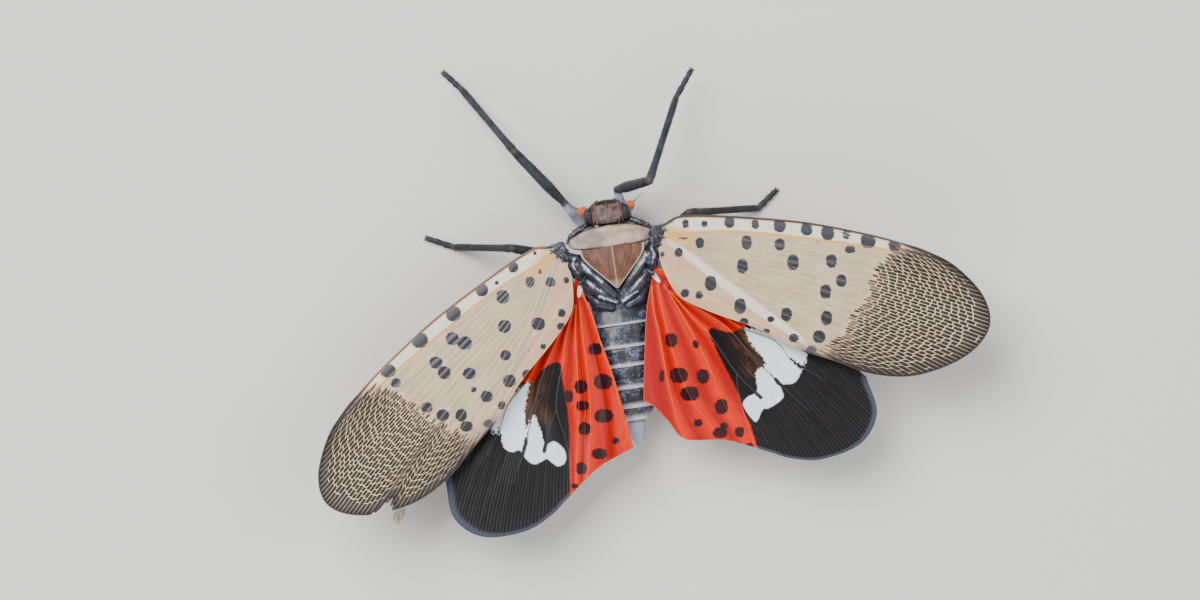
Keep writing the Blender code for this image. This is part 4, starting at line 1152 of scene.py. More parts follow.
# Painted highlights: bluish-white glints along the thorax's ridges, broken up by noise
dark = f.mix((f.attribute("crest") * 0.20 + fleck * 0.45 + cloud * 0.45).between(0.57, 0.70) * 0.85, dark, GLINT_WHITE)
dark = f.mix((fleck * 0.55 + cloud * 0.45 + wax * 0.06).between(0.56, 0.70) * 0.5, dark, WAX_BLUE)
surface = f.mix(margin.between(f.attribute("margin_width"), 0.02), dark, f.mix(cloud, WAX_CREAM, WAX_LILAC))
surface = f.mix(f.attribute("tail") * 0.85, surface, f.mix(fleck, WAX_LILAC, (0.34, 0.34, 0.46)))
surface = f.mix(f.attribute("fuzzy") * fleck.between(0.55, 0.7) * 0.7, surface, WAX_CREAM)
f.show(surface, 0.22 + fleck * 0.35 + f.attribute("tail") * 0.3, wrinkle + fleck * 0.8, 0.035,
       0.5 - f.attribute("tail") * 0.5 - fleck * 0.2)

trunk = Shape()
trunk.loft(THORAX, 64, 2.8)
for n in range(6):
    front, rear = TERGITE_REARS[n], TERGITE_REARS[n + 1]
    half = TERGITE_HALF_WIDTHS[n:n + 2]
    high = TERGITE_HALF_HEIGHTS[n:n + 2]
    length = rear - front
    sections = []
    for along, share, size in ((-0.30, 0.0, 0.86), (0.02, 0.02, 0.93), (0.22, 0.15, 0.965), (length * 0.5, 0.5, 0.985),
                               (length - 0.28, 0.85, 0.985), (length - 0.16, 0.92, 1.0), (length - 0.03, 0.98, 1.005),
                               (length + 0.02, 1.0, 0.97)):
        width, height = np.interp(share, (0, 1), half) * size, np.interp(share, (0, 1), high) * size
        sections.append((front + along, ABDOMEN_Z, width, height, height * 0.96))
    trunk.loft(sections, 64, 2.2)
trunk.loft(ANAL_TUBE, 40, 2.2)
trunk.loft(((-1.7, 3.5, .62, .62, .62), (-1.0, 3.45, .80, .75, .75), (0.0, 3.3, 1.3, .9, .9), (1.2, 3.2, 1.9, 1.0, 1.0)), 40, 2.2)
for side in (LEFT, RIGHT):
    arm = Path(((side * 2.35, 1.15, 4.50), (side * 1.62, 2.25, 4.66), (side * 0.95, 3.05, 4.66), (side * 0.22, 3.85, 4.60)))
    trunk.tube(arm.at(np.linspace(0, 1, 20)), np.interp(np.linspace(0, 1, 20), (0, .3, .7, 1), (.36, .46, .40, .22)))
    lobe = Path(((side * 2.25, 2.45, 4.30), (side * 1.55, 3.35, 4.46), (side * 0.85, 3.95, 4.52), (side * 0.20, 4.35, 4.46)))
    trunk.tube(lobe.at(np.linspace(0, 1, 20)), np.interp(np.linspace(0, 1, 20), (0, .35, .7, 1), (.32, .50, .46, .24)))
    trunk.tube(((side * 2.0, 3.6, 4.0), (side * 1.5, 4.35, 4.2), (side * 0.6, 4.75, 4.22)), (.30, .36, .28))
    trunk.ball((side * 2.15, 3.15, 3.75), (.42, .70, .50), side * 0.3)
    trunk.tube(((side * 1.45, -1.40, 4.05), (side * 2.12, -1.05, 4.22), (side * 2.78, -.66, 4.25), (side * 3.02, -.25, 4.2)),
               (.20, .25, .22, .18))
    base_x, base_y = WING_BASES[side]
    for offset, radii, turned in (((0, 0, 5.30), (.42, .34, .30), .3), ((-.35, .38, 5.12), (.34, .26, .30), .9),
                                  ((.16, .40, 5.28), (.26, .42, .24), -.2), ((-.28, -.16, 5.16), (.36, .22, .26), -.5)):
        trunk.ball((side * (base_x + offset[0]), base_y + offset[1], offset[2]), radii, side * turned)
    trunk.tube(((side * 2.25, 1.15, 4.25), (side * 2.75, .95, 4.75), (side * (base_x - .2), base_y + .2, 5.15)),
               (.42, .36, .30))
    wing = Forewing(side, FOREWING_POSES[side], FOREWING)
    for hinge in WING_HINGES:
        trunk.tube(wing.raise_flat(Path(hinge).at(np.linspace(0, 1, 10))), np.linspace(.17, .07, 10), 12)
    trunk.tube(((side * 2.1, 2.2, 4.1), (side * 2.35, 2.55, 4.55), (side * 2.62, 2.75, 4.78)), (.32, .26, .16))
    trunk.ball((side * 2.55, 1.55, 4.62), (.46, .62, .40), side * 0.2)
    trunk.ball((side * 2.95, 1.35, 4.72), (.34, .50, .26), side * -0.3)
    trunk.ball((side * 2.80, 2.05, 4.60), (.34, .40, .24), side * 0.5)
    trunk.tube(((side * 2.3, .95, 4.5), (side * 2.7, 1.65, 4.82), (side * 2.62, 2.25, 4.80)), (.16, .13, .10), 10)
trunk_mesh = trunk.skin("trunk", TRUNK_VOXEL)
places = vertex_places(trunk_mesh)
on_abdomen = places[:, 1] > TERGITE_REARS[0]
tergite = np.clip(np.searchsorted(TERGITE_REARS, places[:, 1] - 0.03), 1, 6)
to_margin = np.array(TERGITE_REARS)[tergite] + 0.03 - places[:, 1]
fuzzy = np.zeros(len(places))
for side in (LEFT, RIGHT):
    base_x, base_y = WING_BASES[side]
    fuzzy = np.maximum(fuzzy, smooth(1.3 - np.hypot(places[:, 0] - side * base_x, places[:, 1] - base_y - 0.1) / 0.9))
fuzzy = np.maximum(fuzzy, smooth((0.9 - places[:, 1]) / 0.5) * smooth((places[:, 2] - 3.2) / 0.5))
# Ridges on top of the thorax, where the painted highlights fall
crest = np.zeros(len(places))
for side in (LEFT, RIGHT):
    for ridge in (((2.28, 1.35), (1.95, 1.85), (1.50, 2.38), (1.05, 2.85)), ((2.0, 2.75), (1.5, 3.25), (1.05, 3.62)),
                  ((1.35, 3.85), (.80, 4.12), (.25, 4.42)), ((2.75, .9), (2.9, 1.4), (2.7, 2.0))):
        gap = np.abs(line_distance(places[:, :2], Path([(side * x, y) for x, y in ridge], 4).points))
        crest = np.maximum(crest, np.exp(-(gap / 0.13) ** 2))
store(trunk_mesh, "crest", crest * (places[:, 2] > 4.3))
store(trunk_mesh, "fuzzy", fuzzy)
store(trunk_mesh, "margin", np.where(on_abdomen & (places[:, 1] < TERGITE_REARS[-1] + 0.1), to_margin, 9.0))
store(trunk_mesh, "margin_width", np.interp(places[:, 1], (5, 8, 13), (0.20, 0.34, 0.60)))
store(trunk_mesh, "tail", smooth((places[:, 1] - 12.95) / 0.25))
store(trunk_mesh, "wax", smooth((places[:, 1] - 4.0) / 2.0) + smooth((3.3 - places[:, 2]) / 0.6))
store(trunk_mesh, "lay", np.stack((0.3 * np.sign(places[:, 0]), np.full(len(places), 0.9), np.zeros(len(places))), 1))
store(trunk_mesh, "unwrap", np.stack((0.5 + places[:, 0] / 18, 0.5 + (places[:, 1] - 6) / 18, places[:, 2] * 0), 1))
store(trunk_mesh, "hairy", np.clip(fuzzy + 0.10 * (places[:, 1] > 4.9) + 0.05, 0, 1))
trunk_nodes = ["thorax", "abdomen", "anal_tube", "wing_base_left", "wing_base_right"]
add_piece("trunk", trunk_mesh, trunk_finish, trunk_nodes)

# Bristles
# Short tapering bristles stand on the legs, the wing bases and the sides of the thorax, each a
# small three-sided cone that leans along the limb it grows on.
bristles = Growth("bristles", Density="Float", Length="Float", Width="Float", Lean="Float", Seed="Int",
                  Material="Material")
hairy = bristles.node("GeometryNodeInputNamedAttribute", {"data_type": "FLOAT"}, {"Name": "hairy"})
lay = bristles.node("GeometryNodeInputNamedAttribute", {"data_type": "FLOAT_VECTOR"}, {"Name": "lay"})
bristle_density = bristles.value("Density") * hairy
scatter = {"Mesh": bristles.value("Geometry"), "Density": bristle_density, "Seed": bristles.value("Seed")}
bristle_roots = bristles.node("GeometryNodeDistributePointsOnFaces", {"distribute_method": "RANDOM"}, scatter)
root_normal = Socket(bristles, bristle_roots.output.node.outputs["Normal"])
leaning = bristles.node("ShaderNodeVectorMath", {"operation": "SCALE"}, {0: lay, "Scale": bristles.value("Lean")})
strayed = bristles.node("FunctionNodeRandomValue", {"data_type": "FLOAT_VECTOR"},
                        {0: (-0.35, -0.35, -0.35), 1: (0.35, 0.35, 0.35), "Seed": bristles.value("Seed")})
leaning = bristles.node("ShaderNodeVectorMath", {"operation": "ADD"}, {0: leaning, 1: strayed})
standing = bristles.node("ShaderNodeVectorMath", {"operation": "ADD"}, {0: root_normal, 1: leaning})
bristle_turn = bristles.node("FunctionNodeAlignRotationToVector", {"axis": "Z"}, {"Vector": standing})
bristle_cone = bristles.node("GeometryNodeMeshCone", {"fill_type": "NGON"},
                             {"Vertices": 3, "Radius Top": 0.0, "Radius Bottom": bristles.value("Width"),
                              "Depth": bristles.value("Length")})
bristle_size = bristles.node("FunctionNodeRandomValue", {"data_type": "FLOAT"}, {2: 0.55, 3: 1.25, "Seed": 5}, 1)
planted = bristles.node("GeometryNodeInstanceOnPoints", {},
                        {"Points": bristle_roots, "Instance": bristle_cone, "Rotation": bristle_turn,
                         "Scale": bristle_size})
bristles.end(planted)

BRISTLE_BLACK, BRISTLE_GREY = (0.012, 0.012, 0.015), (0.42, 0.44, 0.50)
bristle_finish = Finish("bristle", Roughness=0.38)
f = bristle_finish
f.show(f.mix(f.noise(f.place((0.3, 0.3, 0.3))).between(0.40, 0.70), BRISTLE_BLACK, BRISTLE_GREY))
dark_bristle_finish = Finish("dark_bristle", Roughness=0.38)
f = dark_bristle_finish
f.show(f.mix(f.noise(f.place((0.5, 0.5, 0.5))).between(0.45, 0.75), BRISTLE_BLACK, (0.08, 0.085, 0.10)))


def keep_above_floor(mesh):
    """Flattens what would reach below the floor."""
    places = vertex_places(mesh)
    places[:, 2] = np.maximum(places[:, 2], 0.004)
    mesh.vertices.foreach_set("co", metres(places).ravel())
    mesh.update()


def grow_bristles(name, mesh, finish, density, length, width, lean, seed):
    """Bristles on a skin, each with its own patch in the colour map where its root unwraps."""
    grown = bristles.grow(name, mesh.copy(), Density=density / MM ** 2, Length=length * MM, Width=width * MM,
                          Lean=lean, Seed=seed, Material=finish.material)
    unwrap = np.empty(len(grown.vertices) * 3, np.float32)
    grown.attributes["unwrap"].data.foreach_get("vector", unwrap)
    patch = np.array(((0, 0), (1, 0), (0, 1), (0.5, 0.5)))[np.arange(len(grown.vertices)) % 4] * 0.003
    spread = unwrap.reshape(-1, 3)[:, :2] + patch
    corners = np.empty(len(grown.loops), np.int32)
    grown.loops.foreach_get("vertex_index", corners)
    grown.uv_layers.new(name="OFBake").data.foreach_set("uv", spread[corners].astype(np.float32).ravel())
    keep_above_floor(grown)
    return add_piece(name, grown, finish)


grow_bristles("trunk_bristles", trunk_mesh, bristle_finish, 34.0, 0.30, 0.013, 0.9, 3)

# Pronotum and mesonotum
# Two dull tan shields of dry cuticle with a fine yellow keel down the middle: a crescent collar
# behind the head, and a red-brown triangle behind it with a tan edge and a pale tip.
PRONOTUM_HALVES = (0.0, 1.2, 2.1, 2.7, 3.0, 3.14)
PRONOTUM_FRONTS = (-1.11, -1.03, -.80, -.55, -.38, -.26)
PRONOTUM_REARS = (.55, .50, .44, .30, .08, -.12)
PRONOTUM_TOPS = (5.22, 5.12, 4.86, 4.54, 4.32, 4.16)
PRONOTUM_BOTTOMS = (2.30, 2.35, 2.60, 3.05, 3.55, 3.85)
MESONOTUM = ((.45, 2.30, .34, .10), (.97, 2.22, .62, .15), (1.55, 1.82, .70, .15), (2.20, 1.22, .64, .15),
             (2.80, .66, .48, .13), (3.20, .30, .30, .10), (3.42, .10, .16, .08))
MESONOTUM_Z = 4.98

SHIELD_TAN, SHIELD_CREAM, SHIELD_GREY = (0.36, 0.25, 0.165), (0.56, 0.45, 0.35), (0.23, 0.19, 0.16)
SHIELD_BROWN, SHIELD_RED = (0.085, 0.034, 0.020), (0.185, 0.068, 0.037)
KEEL_YELLOW = (0.74, 0.50, 0.26)

pronotum_finish = Finish("pronotum", Roughness=0.6)
f = pronotum_finish
cloud = f.noise(f.place((0.9, 0.6, 0.9)), 5.0, 0.6)
fleck = f.noise(f.place((0.11, 0.08, 0.11)), 4.0, 0.6)
shield = f.mix(cloud.between(0.35, 0.62), SHIELD_TAN, SHIELD_CREAM)
# Greyer on the insect's left side: partly painted shade, partly grey wax
shield = f.mix(f.attribute("left_side") * cloud.between(0.70, 0.40) * 0.7, shield, SHIELD_GREY)
shield = f.mix(fleck.between(0.52, 0.68) * 0.7, shield, SHIELD_GREY)
shield = f.mix((cloud - fleck * 0.3).between(0.10, 0.04), shield, SHIELD_BROWN)
shield = f.mix(f.attribute("brim") * (fleck + 0.2) * 0.8, shield, SHIELD_BROWN)
shield = f.mix(f.attribute("flank") * 0.85, shield, f.mix(fleck, CUTICLE_BLACK, SHIELD_GREY))
shield = f.mix(f.attribute("keel") * 0.45, shield, KEEL_YELLOW)
f.show(shield, 0.45 + fleck * 0.4, fleck + cloud, 0.03)

turn = np.linspace(0, 2 * math.pi, 96, endpoint=False)
across = np.sign(np.cos(turn)) * np.abs(np.cos(turn)) ** (2 / 6.0)
rise = np.sign(np.sin(turn)) * np.abs(np.sin(turn)) ** (2 / 6.0)
collar = Shape()
profiles = [Path(list(zip(PRONOTUM_HALVES, column))).points.T
            for column in (PRONOTUM_FRONTS, PRONOTUM_REARS, PRONOTUM_TOPS, PRONOTUM_BOTTOMS)]
rings = []
for x in np.linspace(-3.14, 3.14, 141):
    front, rear, top, bottom = (np.interp(abs(x), *profile) for profile in profiles)
    lip = np.where(rise > 0.25, 1.0, 0.90)
    y = (front + rear) / 2 + across * lip * (rear - front) / 2
    ridge = 0.055 * math.exp(-(x / 0.055) ** 2) + 0.02 * np.abs(across) ** 6
    z = np.where(rise > 0, top - (top - bottom) / 2 * (1 - rise), bottom + (top - bottom) / 2 * (1 + rise))
    rings.append(np.stack((np.full(96, x), y, z + ridge * (rise > 0.6)), 1))
collar.rings(rings)
collar_mesh = new_mesh("pronotum", np.array(collar.points), collar.faces)
face_outwards(collar_mesh)
places = vertex_places(collar_mesh)
middle_y = np.interp(np.abs(places[:, 0]), PRONOTUM_HALVES, (np.array(PRONOTUM_FRONTS) + PRONOTUM_REARS) / 2)
half_y = np.interp(np.abs(places[:, 0]), PRONOTUM_HALVES, (np.array(PRONOTUM_REARS) - PRONOTUM_FRONTS) / 2)
top_z = np.interp(np.abs(places[:, 0]), PRONOTUM_HALVES, PRONOTUM_TOPS)
store(collar_mesh, "brim", smooth((np.abs(places[:, 1] - middle_y) / half_y - 0.82) / 0.18))
store(collar_mesh, "flank", smooth((top_z - places[:, 2] - 0.35) / 0.3))
# The side that takes the painted shade and grey wax
store(collar_mesh, "left_side", smooth((places[:, 0] + 0.4) / 1.2))
store(collar_mesh, "keel", np.exp(-(places[:, 0] / 0.05) ** 2))
add_piece("pronotum", collar_mesh, pronotum_finish, ["pronotum"])

mesonotum_finish = Finish("mesonotum", Roughness=0.5)
f = mesonotum_finish
cloud = f.noise(f.place((0.5, 1.1, 0.9)), 5.0, 0.6)
fleck = f.noise(f.place((0.10, 0.16, 0.11)), 4.0, 0.6)
shield = f.mix(cloud.between(0.35, 0.65), SHIELD_BROWN, SHIELD_RED)
shield = f.mix(fleck.between(0.58, 0.75) * 0.5, shield, SHIELD_TAN)
shield = f.mix(f.attribute("tip").between(0.2, 1.0) * 0.8, shield, SHIELD_TAN)
shield = f.mix((f.attribute("brim") + (fleck - 0.5) * 0.3).between(0.20, 0.05), shield, SHIELD_CREAM)
shield = f.mix(f.attribute("keel") * 0.6, shield, KEEL_YELLOW)
f.show(shield, 0.38 + fleck * 0.35, fleck + cloud, 0.03)

ys = np.linspace(MESONOTUM[0][0], MESONOTUM[-1][0], 110)
half, up, down = (np.interp(ys, *Path([(row[0], row[k]) for row in MESONOTUM]).points.T) for k in (1, 2, 3))
t = np.linspace(-1, 1, 121)[None, :]
arch = (1 - np.abs(t) ** 2.2) * up[:, None]
grooves = 0.05 * np.exp(-((t * half[:, None]) / 0.05) ** 2) + 0.05 * smooth((np.abs(t) - 0.90) / 0.06)
for place in (-0.62, 0.62):
    grooves -= 0.035 * np.exp(-((t - place) / 0.05) ** 2)
flat_y = np.broadcast_to(ys[:, None], arch.shape)
top = np.stack((t * half[:, None], flat_y, MESONOTUM_Z + arch * 0.75 + grooves), -1)
bottom = np.stack((t * half[:, None] * 0.97, flat_y, MESONOTUM_Z - 0.25 - arch * 0.0), -1)
mesonotum_mesh = closed_sheet("mesonotum", top, bottom)
places = vertex_places(mesonotum_mesh)
store(mesonotum_mesh, "brim", (1 - np.abs(places[:, 0]) / np.interp(places[:, 1], ys, half)) * np.interp(places[:, 1], ys, half) + 0.02)
store(mesonotum_mesh, "tip", smooth((places[:, 1] - 2.4) / 0.8))
store(mesonotum_mesh, "keel", np.exp(-(places[:, 0] / 0.042) ** 2))
add_piece("mesonotum", mesonotum_mesh, mesonotum_finish, ["mesonotum"])

# Head
# A short blunt head of mottled red-brown cuticle: keels frame the vertex and the face, a thin rim
# stands round each eye, a collar holds each antenna, and the face runs down into the beak. The
# eyes, the antennae and the beak are pieces of their own.
HEAD = ((-1.22, 3.85, .95, .84, .95), (-1.50, 3.80, 1.20, 1.08, 1.22), (-2.00, 3.75, 1.20, 1.18, 1.34),
        (-2.45, 3.68, 1.16, 1.18, 1.36), (-2.72, 3.60, 1.04, 1.06, 1.20), (-2.86, 3.55, .82, .86, .95))
EYE_CENTRE, EYE_RADII = (1.27, -1.84, 4.12), (0.47, 0.68, 0.66)
ANTENNA_CENTRE, ANTENNA_RADIUS = (1.66, -2.30, 3.06), 0.37
ARISTA_RUN, ARISTA_LENGTH = (0.75, -0.55, 0.10), 1.45
BEAK = ((0, -2.20, 1.95), (0, -1.35, 1.58), (0, -.60, 1.42), (0, 1.2, 1.30), (0, 3.20, 1.22))
HEAD_VOXEL = 0.03

HEAD_BROWN, HEAD_DARK, HEAD_TAN = (0.070, 0.036, 0.028), (0.010, 0.007, 0.008), (0.165, 0.110, 0.094)
EYE_RIM_RED, PATCH_ORANGE = (0.11, 0.022, 0.013), (0.72, 0.12, 0.025)

head_finish = Finish("head", Roughness=0.55)
f = head_finish
cloud = f.noise(f.place((0.55, 0.55, 0.55)), 5.0, 0.65)
fleck = f.noise(f.place((0.10, 0.14, 0.10)), 4.0, 0.65)
skin = f.mix(cloud.between(0.38, 0.60), HEAD_BROWN, HEAD_TAN)
skin = f.mix((fleck * 0.5 + cloud * 0.5).between(0.50, 0.38) * 0.85, skin, HEAD_DARK)
skin = f.mix(f.attribute("brow") * (cloud + 0.4), skin, HEAD_DARK)
skin = f.mix(f.attribute("keel") * 0.55, skin, HEAD_TAN)
skin = f.mix(f.attribute("face") * fleck.between(0.3, 0.6), skin, HEAD_DARK)
skin = f.mix(f.attribute("eye_rim") * (cloud + 0.2), skin, EYE_RIM_RED)
skin = f.mix(f.attribute("cheek"), skin, PATCH_ORANGE)
f.show(skin, 0.42 + fleck * 0.35, fleck + cloud * 1.5, 0.035)

skull = Shape()
skull.loft(HEAD, 56, 2.9)
skull.loft(((-2.70, 3.05, .80, .50, .60), (-2.55, 2.55, .72, .50, .55), (-2.35, 2.15, .50, .45, .30),
            (-2.10, 2.00, .36, .30, .22), (-1.90, 2.00, .30, .25, .18)), 36, 2.3)
skull.tube(((0, -1.8, 3.4), (0, -1.0, 3.4)), .70)
for side in (LEFT, RIGHT):
    eye = np.array((side * EYE_CENTRE[0], *EYE_CENTRE[1:]))
    circle = np.linspace(0, 2 * math.pi, 40)
    rim_run = np.stack((eye[0] - side * (0.17 + 0.08 * np.sin(circle)), eye[1] + 0.73 * np.cos(circle),
                        eye[2] + 0.71 * np.sin(circle)), 1)
    skull.tube(rim_run, 0.085, 8)
    brow = ((side * .80, -1.28, 4.66), (side * .86, -1.9, 4.86), (side * .84, -2.5, 4.78), (side * .72, -2.82, 4.40),
            (side * .66, -2.92, 3.7), (side * .52, -2.90, 3.0))
    skull.tube(Path(brow).at(np.linspace(0, 1, 30)), 0.065, 8)
    skull.tube(((side * 1.0, -2.1, 3.2), (side * 1.42, -2.22, 3.1)), (.34, .30))
    skull.tube(((side * .45, -2.1, 2.3), (side * .30, -2.2, 2.0)), (.20, .14))
front_keel = ((-.80, -2.62, 4.72), (-.4, -2.80, 4.78), (0, -2.84, 4.79), (.4, -2.80, 4.78), (.80, -2.62, 4.72))
skull.tube(Path(front_keel).at(np.linspace(0, 1, 30)), 0.075, 8)
skull.tube(Path(((0, -1.3, 4.72), (0, -1.9, 4.93), (0, -2.5, 4.88), (0, -2.80, 4.6), (0, -2.93, 3.7),
                 (0, -2.85, 3.0))).at(np.linspace(0, 1, 30)), 0.045, 8)
skull_mesh = skull.skin("head", HEAD_VOXEL, 2)
places = vertex_places(skull_mesh)
x, y, z = np.abs(places[:, 0]), places[:, 1], places[:, 2]
rim_reach = np.hypot((y - EYE_CENTRE[1]) / 0.73, (z - EYE_CENTRE[2]) / 0.71)
store(skull_mesh, "eye_rim", np.exp(-((rim_reach - 1.0) / 0.16) ** 2) * smooth((x - 0.90) / 0.10))
store(skull_mesh, "cheek", smooth(1.3 - np.sqrt((x - 1.45) ** 2 + (y + 2.50) ** 2 + ((z - 3.45) * 0.8) ** 2) / 0.42))
store(skull_mesh, "brow", smooth((-2.50 - y) / 0.15) * smooth((z - 4.3) / 0.25))
store(skull_mesh, "face", smooth((4.2 - z) / 0.6) * smooth((-y - 2.4) / 0.3))
store(skull_mesh, "keel", np.maximum(np.exp(-(x / 0.05) ** 2), np.exp(-((x - 0.84) / 0.06) ** 2)) * (z > 4.4))
store(skull_mesh, "hairy", smooth((x - 0.9) / 0.3) * 0.3 + smooth((3.6 - z) / 0.5) * 0.5)
store(skull_mesh, "lay", np.stack((places[:, 0] * 0, y * 0 - 0.6, y * 0 - 0.5), 1))
store(skull_mesh, "unwrap", np.stack((0.5 + places[:, 0] / 6, z / 8, z * 0), 1))
add_piece("head", skull_mesh, head_finish, ["head"])
grow_bristles("head_bristles", skull_mesh, dark_bristle_finish, 16.0, 0.16, 0.009, 0.5, 9)

# Eyes
# Glossy black compound eyes. Each is an ellipsoid of some 2500 six-sided facets, every facet
# raised a little over the black seams round it, with a faint painted blue-grey sky reflection towards the top.
facets = Growth("facets", Rise="Float", Material="Material")
eye_ball = facets.node("GeometryNodeMeshIcoSphere", {}, {"Radius": 1.0, "Subdivisions": 5})
eye_hexes = facets.node("GeometryNodeDualMesh", {}, {0: eye_ball})
raised = facets.node("GeometryNodeExtrudeMesh", {"mode": "FACES"},
                     {"Mesh": eye_hexes, "Offset Scale": facets.value("Rise"), "Individual": True})
facet_tops = Socket(facets, raised.output.node.outputs["Top"])
facets.end(facets.node("GeometryNodeScaleElements", {}, {"Geometry": raised, "Selection": facet_tops, "Scale": 0.90}))

eye_finish = Finish("eye", Roughness=0.16, Specular_IOR_Level=0.3, Coat_Weight=0.4, Coat_Roughness=0.05)
f = eye_finish
# Painted reflection: the eyes' upper parts turn blue-grey, like the sky's reflection, broken up by this noise
bloom = f.noise(f.place((0.5, 0.35, 0.4)), 3.0, 0.5)
f.show(f.mix(f.attribute("upper") * bloom.between(0.35, 0.65), (0.002, 0.002, 0.003), (0.012, 0.018, 0.032)),
       0.08 + bloom * 0.1)
for side in (LEFT, RIGHT):
    eye_mesh = facets.grow("eye_" + SIDE_NAMES[side], new_mesh("eye_seed", [(0, 0, 0)]), Rise=0.005,
                           Material=eye_finish.material)
    places = np.empty(len(eye_mesh.vertices) * 3)
    eye_mesh.vertices.foreach_get("co", places)
    places = places.reshape(-1, 3) * EYE_RADII + (side * EYE_CENTRE[0], *EYE_CENTRE[1:])
    eye_mesh.vertices.foreach_set("co", metres(places).ravel())
    # Where the painted sky reflection falls on each eye
    store(eye_mesh, "upper", smooth((places[:, 2] - EYE_CENTRE[2] - 0.1) / 0.5))
    eye_mesh.update()
    add_piece("eye_" + SIDE_NAMES[side], eye_mesh, eye_finish, ["eye_" + SIDE_NAMES[side]])

# Antennae
# Each antenna is a plump orange bulb below the eye, pebbled with small round sense organs, that
# carries a hair-thin dark bristle.
pebbles = Growth("pebbles", Size="Float", Seed="Int", Material="Material")
pebble_roots = pebbles.node("GeometryNodeDistributePointsOnFaces", {"distribute_method": "POISSON"},
                            {"Mesh": pebbles.value("Geometry"), "Distance Min": 0.075 * MM, "Density Max": 4.0e8,
                             "Seed": pebbles.value("Seed")})
pebble = pebbles.node("GeometryNodeMeshIcoSphere", {}, {"Radius": pebbles.value("Size"), "Subdivisions": 2})
pebbled = pebbles.node("GeometryNodeInstanceOnPoints", {}, {"Points": pebble_roots, "Instance": pebble})
pebbles.end(pebbles.node("GeometryNodeJoinGeometry", {}, {0: pebbled}))

antenna_finish = Finish("antenna", Roughness=0.5)
f = antenna_finish
grain = f.noise(f.place((0.12, 0.12, 0.12)), 4.0, 0.6)
bulb = f.mix(grain.between(0.3, 0.7), (0.80, 0.15, 0.03), (0.62, 0.07, 0.015))
bulb = f.mix(f.attribute("thin"), bulb, (0.030, 0.018, 0.016))
f.show(bulb, 0.4 + grain * 0.25, grain, 0.02)
for side in (LEFT, RIGHT):
    label = "antenna_" + SIDE_NAMES[side]
    centre = np.array((side * ANTENNA_CENTRE[0], *ANTENNA_CENTRE[1:]))
    bulb_shape = Shape()
    bulb_shape.ball(centre, (ANTENNA_RADIUS, ANTENNA_RADIUS, ANTENNA_RADIUS * 0.96))
    bulb_shape.tube((centre * (0.86, 1.0, 1.0), centre), (.17, .2))
    bulb_mesh = bulb_shape.skin(label, 0.03, 2)
    pebble_mesh = pebbles.grow(label + "_pebbles", bulb_mesh.copy(), Size=0.030 * MM, Seed=4,
                               Material=antenna_finish.material)
    run = np.array((side * ARISTA_RUN[0], *ARISTA_RUN[1:]))
    run /= np.linalg.norm(run)
    along = np.linspace(0, 1, 24)[:, None]
    sag = np.array((0, 0, -0.10)) * along ** 2
    arista = centre + run * (ANTENNA_RADIUS * 0.9 + along * (ARISTA_LENGTH - 0.3)) + sag
    arista_mesh = rib_mesh(label + "_arista", [(arista, np.interp(along[:, 0], (0, .12, .2, 1), (.07, .06, .028, .010)))],
                           antenna_finish, 8, thin=[smooth((along[:, 0] - 0.05) / 0.15)])
    add_piece(label, bulb_mesh, antenna_finish, [label])
    add_piece(label + "_pebbles", pebble_mesh, antenna_finish)
    add_piece(label + "_arista", arista_mesh, antenna_finish)

# Beak
# A slim dark sucking beak, folded back along the underside between the legs, in two joints with a
# groove down the middle and a pale tip.
beak_finish = Finish("beak", Roughness=0.35)
f = beak_finish
grain = f.noise(f.place((0.15, 0.5, 0.15)), 4.0, 0.6)
horn = f.mix(grain, (0.020, 0.016, 0.015), (0.080, 0.045, 0.030))
f.show(f.mix(f.attribute("tip"), horn, (0.30, 0.16, 0.08)), 0.3 + grain * 0.3, grain, 0.02)
beak_path = Path(BEAK)
share = np.linspace(0, 1, 60)
beak_shape = Shape()
beak_radii = np.interp(share, (0, .20, .50, .54, .58, .92, 1), (.30, .26, .24, .19, .23, .19, .12))
beak_shape.tube(beak_path.at(share), beak_radii, 20)
for side in (LEFT, RIGHT):
    beak_shape.tube(beak_path.at(share[4:56]) + (side * 0.10, 0, -0.02), beak_radii[4:56] * 0.86, 16)
beak_mesh = beak_shape.skin("beak", 0.035, 1)
store(beak_mesh, "tip", smooth((vertex_places(beak_mesh)[:, 1] - 2.7) / 0.5))
add_piece("beak", beak_mesh, beak_finish, ["rostrum"])

# Legs
# Six long black legs: a waxy blue-grey coxa, a club-shaped femur, a four-edged tibia, and a tarsus
# of three short joints that ends in two curved claws with a pad between them. The hind tibiae
# carry a row of stout spines.
LEGS = {
    ("front", LEFT): ((1.45, -.95, 1.78), (2.96, -3.19, 2.20), (5.92, -7.19, 4.10), (9.19, -12.44, .26),
                      (10.41, -13.90, .18)),
    ("front", RIGHT): ((-1.20, -1.08, 1.80), (-.98, -3.59, 2.05), (-3.28, -3.76, 6.20), (-6.06, -9.51, 3.00),
                       (-7.55, -11.49, 2.45)),
    ("mid", LEFT): ((1.95, 1.25, 1.45), (2.95, .90, 1.95), (7.02, -.41, 4.00), (11.27, -1.16, .26), (13.35, -2.16, .18)),
    ("mid", RIGHT): ((-1.95, 1.25, 1.45), (-2.90, .85, 1.95), (-5.81, -1.18, 3.95), (-10.92, -.90, .26),
                     (-12.52, -2.10, .18)),
    ("hind", LEFT): ((1.55, 3.30, 1.45), (2.45, 3.90, 1.75), (5.00, 7.30, 3.35), (6.70, 14.10, .26), (7.10, 16.20, .18)),
    ("hind", RIGHT): ((-1.55, 3.30, 1.45), (-2.45, 3.90, 1.75), (-5.60, 6.90, 3.35), (-8.30, 13.40, .26),
                      (-9.20, 15.30, .18)),
}

